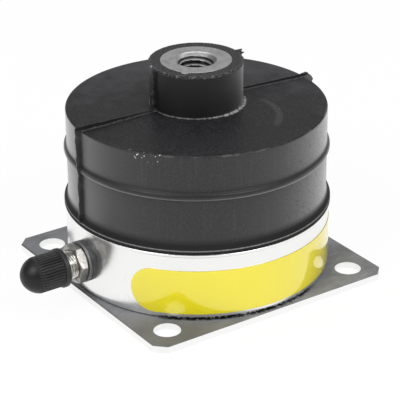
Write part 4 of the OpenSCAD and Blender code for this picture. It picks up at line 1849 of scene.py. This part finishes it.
    def washer(self) -> bpy.types.Object:
        """The washer, turned with broken edges.

        Returns:
            The washer's object.
        """
        low, high = self.grommet_u + self.seat_gap, self.washer_u
        path = finer(rounded([
            (self.bore_r, (low + high) / 2, 0), (self.bore_r, low, 0), (self.washer_r, low, 0.15),
            (self.washer_r, high, 0.25), (self.bore_r, high, 0.1), (self.bore_r, high - 0.2, 0),
        ], steps=4), step=0.5)
        return surface("washer_ring", self.turned(path, full_circle(144)), wrap_rows=True)

    def nut(self) -> bpy.types.Object:
        """The nut: the smaller of a hexagon's radius and that of its two chamfer cones.

        The hexagon's radius is half its width across flats over the cosine of the angle from the
        nearest flat's middle, and its corners are blunted a little.

        Returns:
            The nut's object.
        """
        corner, sixth, half = math.radians(self.nut_turn), FULL_TURN / 6, self.nut_af / 2
        near = np.radians(np.array([-1.6, -0.8, -0.3, 0, 0.3, 0.8, 1.6]))
        extra = (corner + np.arange(6)[:, None] * sixth + near).ravel()
        angle = np.sort(np.mod(np.concatenate([full_circle(240) + 0.003, extra]), FULL_TURN))[None]
        low, high = self.washer_u + self.seat_gap, self.nut_u
        flat_r = half / np.cos(np.mod(angle - corner, sixth) - sixth / 2)
        flat_r = np.minimum(flat_r, half / math.cos(math.radians(self.nut_blunt)))
        height = low + (high - low) * (0.5 - 0.5 * np.cos(np.linspace(0, np.pi, 28)))[:, None]
        drop = np.minimum(height - low, high - height)
        wall_r = np.minimum(flat_r, half - 0.1 + drop / math.tan(math.radians(self.nut_cone)))
        wide_r = self.bore_r + self.nut_chamfer
        bore = np.array([
            (wide_r, high), (self.bore_r, high - self.nut_chamfer), (self.bore_r, (low + high) / 2),
            (self.bore_r, low + self.nut_chamfer), (wide_r, low),
        ])
        points = np.concatenate([self.around(wall_r, angle, height), self.turned(bore, angle)])
        return surface("hex_nut", points, wrap_rows=True, crease=22)

    def cap(self) -> bpy.types.Object:
        """The cap: dome, ribbed barrel, plain collar and threaded bore.

        A rib's height over the root is half of 1 plus a flattened cosine of ribs times the angle.
        The ribs stay inside a sphere that is a little wider than the dome's and whose middle lies
        rib_start nearer the collar, so they run out into the dome.

        Returns:
            The cap's object.
        """
        angle = full_circle(self.cap_ribs * 10)[None]
        dome_u = self.cap_u + self.cap_length - self.cap_root_r
        shoulder, bore_end = self.cap_u + self.cap_collar_l, self.cap_u + self.cap_bore_l
        dome = arc((0, dome_u), self.cap_root_r, 90, 0, steps=22)
        barrel = finer(np.array([(self.cap_root_r, dome_u), (self.cap_root_r, shoulder + 0.05)]), step=0.35)
        collar = finer(rounded([
            (self.cap_root_r, shoulder, 0), (self.cap_collar_r, shoulder - 0.4, 0.25),
            (self.cap_collar_r, self.cap_u, 0.3), (self.cap_bore_r + 0.6, self.cap_u, 0.1),
            (self.cap_bore_r, self.cap_u + 0.6, 0),
        ], steps=4), step=0.3)
        ribbed = np.vstack([dome, barrel[1:]])
        root_r, along = ribbed[:, :1], ribbed[:, 1:]
        wave = 0.5 + 0.5 * np.tanh(2.2 * np.cos(self.cap_ribs * angle)) / math.tanh(2.2)
        rib_r = self.cap_root_r + (self.cap_r - self.cap_root_r) * (1.25 * wave - 0.12)
        past = np.maximum(along - dome_u + self.rib_start, 0)
        reach = np.sqrt(np.maximum((self.cap_r + 0.1) ** 2 - past**2, 0))
        outer_r = np.maximum(root_r - 0.03 * (along < dome_u), np.minimum(rib_r, reach))
        outer_r = np.where(root_r < 1e-6, 0, outer_r)
        bore_u = np.arange(self.cap_u + 0.65, bore_end - 0.7, self.stem_pitch / 8)[:, None]
        fade = band(bore_u, (self.cap_u + 0.6, self.cap_u + 1.2), (bore_end - 2.4, bore_end - 1.6))
        groove = self.cap_groove * (1 - thread_wave(bore_u, angle, self.stem_pitch)) * fade
        end = np.array([(self.cap_bore_r, bore_end - 0.6), (self.cap_bore_r, bore_end), (0, bore_end)])
        points = np.concatenate([
            self.around(outer_r, angle, along), self.turned(collar, angle),
            self.around(self.cap_bore_r + groove, angle, bore_u), self.turned(finer(end, step=1.0), angle),
        ])
        return surface("ribbed_cap", points, crease=32)

    def spring(self) -> bpy.types.Object:
        """The core's spring: a round section carried along a helix.

        A point at angle b of the section lies at the turns' radius plus the wire's radius times
        cos b from the axis, and at the helix's own distance plus the wire's radius times sin b
        along it. The section shrinks to a point at either end, which closes the wire.

        Returns:
            The spring's object.
        """
        low, high = spread("core_spring")
        turn_r = (high[2] - low[2]) / 2 - self.spring_wire_r
        first, last = self.spring_wire_r - high[0], -low[0] - self.spring_wire_r
        share = np.linspace(0, 1, self.spring_turns * 40 + 1)[:, None]
        wire_r = np.vstack([[[0]], np.full_like(share, self.spring_wire_r), [[0]]])
        share = np.vstack([share[:1], share, share[-1:]])
        section = full_circle(14)[None]
        points = self.around(
            turn_r + wire_r * np.cos(section), FULL_TURN * self.spring_turns * share,
            first + (last - first) * share + wire_r * np.sin(section),
        )
        return surface("core_coil", points)


@dataclass
class Innards:
    """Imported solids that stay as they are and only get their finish."""

    def build(self, shade: Shade) -> None:
        """Dresses the solids inside the housing and the valve.

        Args:
            shade: The finishes.
        """
        finishes = {
            "damping_plate": shade.steel, "bump_stop": shade.seal, "inner_seal": shade.seal,
            "core_body": shade.core, "core_sleeve": shade.sleeve, "core_pin": shade.wire,
            "core_seal": shade.seal, "cap_seal": shade.seal,
        }
        for node, material in finishes.items():
            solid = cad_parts[node]
            solid.data.materials.clear()
            solid.data.materials.append(material)


# Studio


def outwards(turn: float, height: float) -> Vector:
    """Unit vector from the object, by its turn from the front and its height in degrees."""
    a, e = math.radians(turn), math.radians(height)
    return Vector((math.sin(a) * math.cos(e), -math.cos(a) * math.cos(e), math.sin(e)))


@dataclass(frozen=True)
class PaleFloor(Finish):
    """White paper that shows as plain white but keeps part of the object's shadow."""

    name: str = "pale_floor"
    colour: tuple = (0.93, 0.93, 0.93, 1)
    glow: float = 1.0
    glow_share: float = 0.93

    def shader(self, bench: Bench) -> Wire:
        """Mixes plain white into the lit paper for camera, glossy and transmission rays.

        Args:
            bench: The node tree.

        Returns:
            The shader.
        """
        rays = bench.node("ShaderNodeLightPath").outputs
        kinds = ("Is Camera Ray", "Is Glossy Ray", "Is Transmission Ray")
        seen = bench.most(*(Wire(bench, rays[kind]) for kind in kinds))
        paper = bench.add("ShaderNodeBsdfDiffuse", None, {"Color": self.colour})
        white = bench.add("ShaderNodeEmission", None, {"Strength": self.glow})
        return bench.add("ShaderNodeMixShader", None, {0: seen * self.glow_share, 1: paper, 2: white})


@dataclass
class Studio:
    """Pale floor and low backdrop, a dim ring above them, soft light overhead and two lamps in front."""

    floor_half: float = 1.6
    floor_z: float = -0.0001
    backdrop: float = 0.76
    backdrop_top: tuple = (0.08, 0.22)
    dim: float = 0.224
    overhead: float = 1.04
    lamp_turns: tuple = (-80.0, 12.0)
    lamp_height: float = 42.0
    lamp_distance: float = 0.95
    lamp_size: float = 0.5
    lamp_power: float = 3.6

    def build(self) -> None:
        """Makes the floor, the world and the lamps."""
        self.floor()
        self.sky()
        for turn in self.lamp_turns:
            self.lamp(turn)

    def floor(self) -> None:
        """Lays the floor just below the plate's underside."""
        reach = np.array([-self.floor_half, self.floor_half]) / MM
        x, y = np.meshgrid(reach, reach, indexing="ij")
        points = np.stack([x, y, np.full_like(x, self.floor_z / MM)], -1)
        piece = surface("floor", points, wrap_columns=False, side=Side.AS_MADE)
        piece.data.materials.append(PaleFloor().material())

    def sky(self) -> None:
        """Lights the scene by a sky that has a pale band near the ground.

        Its strength above the band is dim plus overhead times the fourth power of the height on a
        unit sphere. The camera sees plain white.
        """
        world = bpy.data.worlds.new("studio_sky")
        bpy.context.scene.world = world
        world.use_nodes = True
        bench = Bench(world.node_tree)
        _, _, z = bench.parts(bench.add("ShaderNodeTexCoord", out="Generated"))
        height = bench.most(z, 0.0)
        band = bench.between(z, self.backdrop_top[1], self.backdrop_top[0])
        strength = self.dim + (self.backdrop - self.dim) * band + self.overhead * height**4
        seen = bench.add("ShaderNodeLightPath", out="Is Camera Ray")
        shown = strength + seen * (1 - strength)
        light = bench.add("ShaderNodeBackground", None, {"Color": (1, 1, 1, 1), "Strength": shown})
        bench.node("ShaderNodeOutputWorld", None, {"Surface": light})

    def lamp(self, turn: float) -> None:
        """Hangs one soft lamp in front.

        Args:
            turn: Its direction round the object, in degrees, 0 in front and 90 at the right.
        """
        light = bpy.data.lights.new("front_lamp", "AREA")
        light.energy, light.size = self.lamp_power, self.lamp_size
        lamp = bpy.data.objects.new("front_lamp", light)
        bpy.context.scene.collection.objects.link(lamp)
        back = outwards(turn, self.lamp_height)
        lamp.location = back * self.lamp_distance
        lamp.rotation_mode = "QUATERNION"
        lamp.rotation_quaternion = (-back).to_track_quat("-Z", "Y")


@dataclass
class ViewPoint:
    """The camera, where the photograph was taken from."""

    turn: float = PHOTO_TURN
    height: float = 25.853
    roll: float = -0.4915
    distance: float = 0.517459
    right: float = 0.000617
    up: float = 0.015930
    base_z: float = 0.002
    lens: float = 162.68
    sensor: float = 36.0
    clip: tuple = (0.01, 10.0)

    def build(self) -> None:
        """Places the camera.

        It looks along minus the direction given by turn and height, rolled about it, from a point
        that far away and moved to the right and up in the picture's own directions.
        """
        turn, roll = math.radians(self.turn), math.radians(self.roll)
        back = outwards(self.turn, self.height)
        right = Vector((math.cos(turn), math.sin(turn), 0))
        up = back.cross(right)
        rolled_right = right * math.cos(roll) + up * math.sin(roll)
        rolled_up = up * math.cos(roll) - right * math.sin(roll)
        data = bpy.data.cameras.new("view_camera")
        data.lens, data.sensor_width = self.lens, self.sensor
        data.clip_start, data.clip_end = self.clip
        camera = bpy.data.objects.new("view_camera", data)
        bpy.context.scene.collection.objects.link(camera)
        place = back * self.distance + rolled_right * self.right + rolled_up * self.up
        place.z += self.base_z
        axes = Matrix((rolled_right, rolled_up, back)).transposed()
        camera.matrix_world = Matrix.Translation(place) @ axes.to_4x4()
        bpy.context.scene.camera = camera


def main() -> None:
    """Builds the studio and the mount."""
    logging.basicConfig(level=logging.INFO, format="%(name)s: %(message)s")
    bpy.context.scene.view_settings.view_transform = "Standard"
    ViewPoint().build()
    Studio().build()
    plate, drum, hub, label, valve = BasePlate(), RubberDrum(), ThreadedHub(), Label(), Valve()
    shade = Shade(plate, drum, hub, label, valve)
    for part in (plate, Housing(), drum, hub, label, valve, Innards()):
        part.build(shade)


if __name__ == "__main__":
    main()
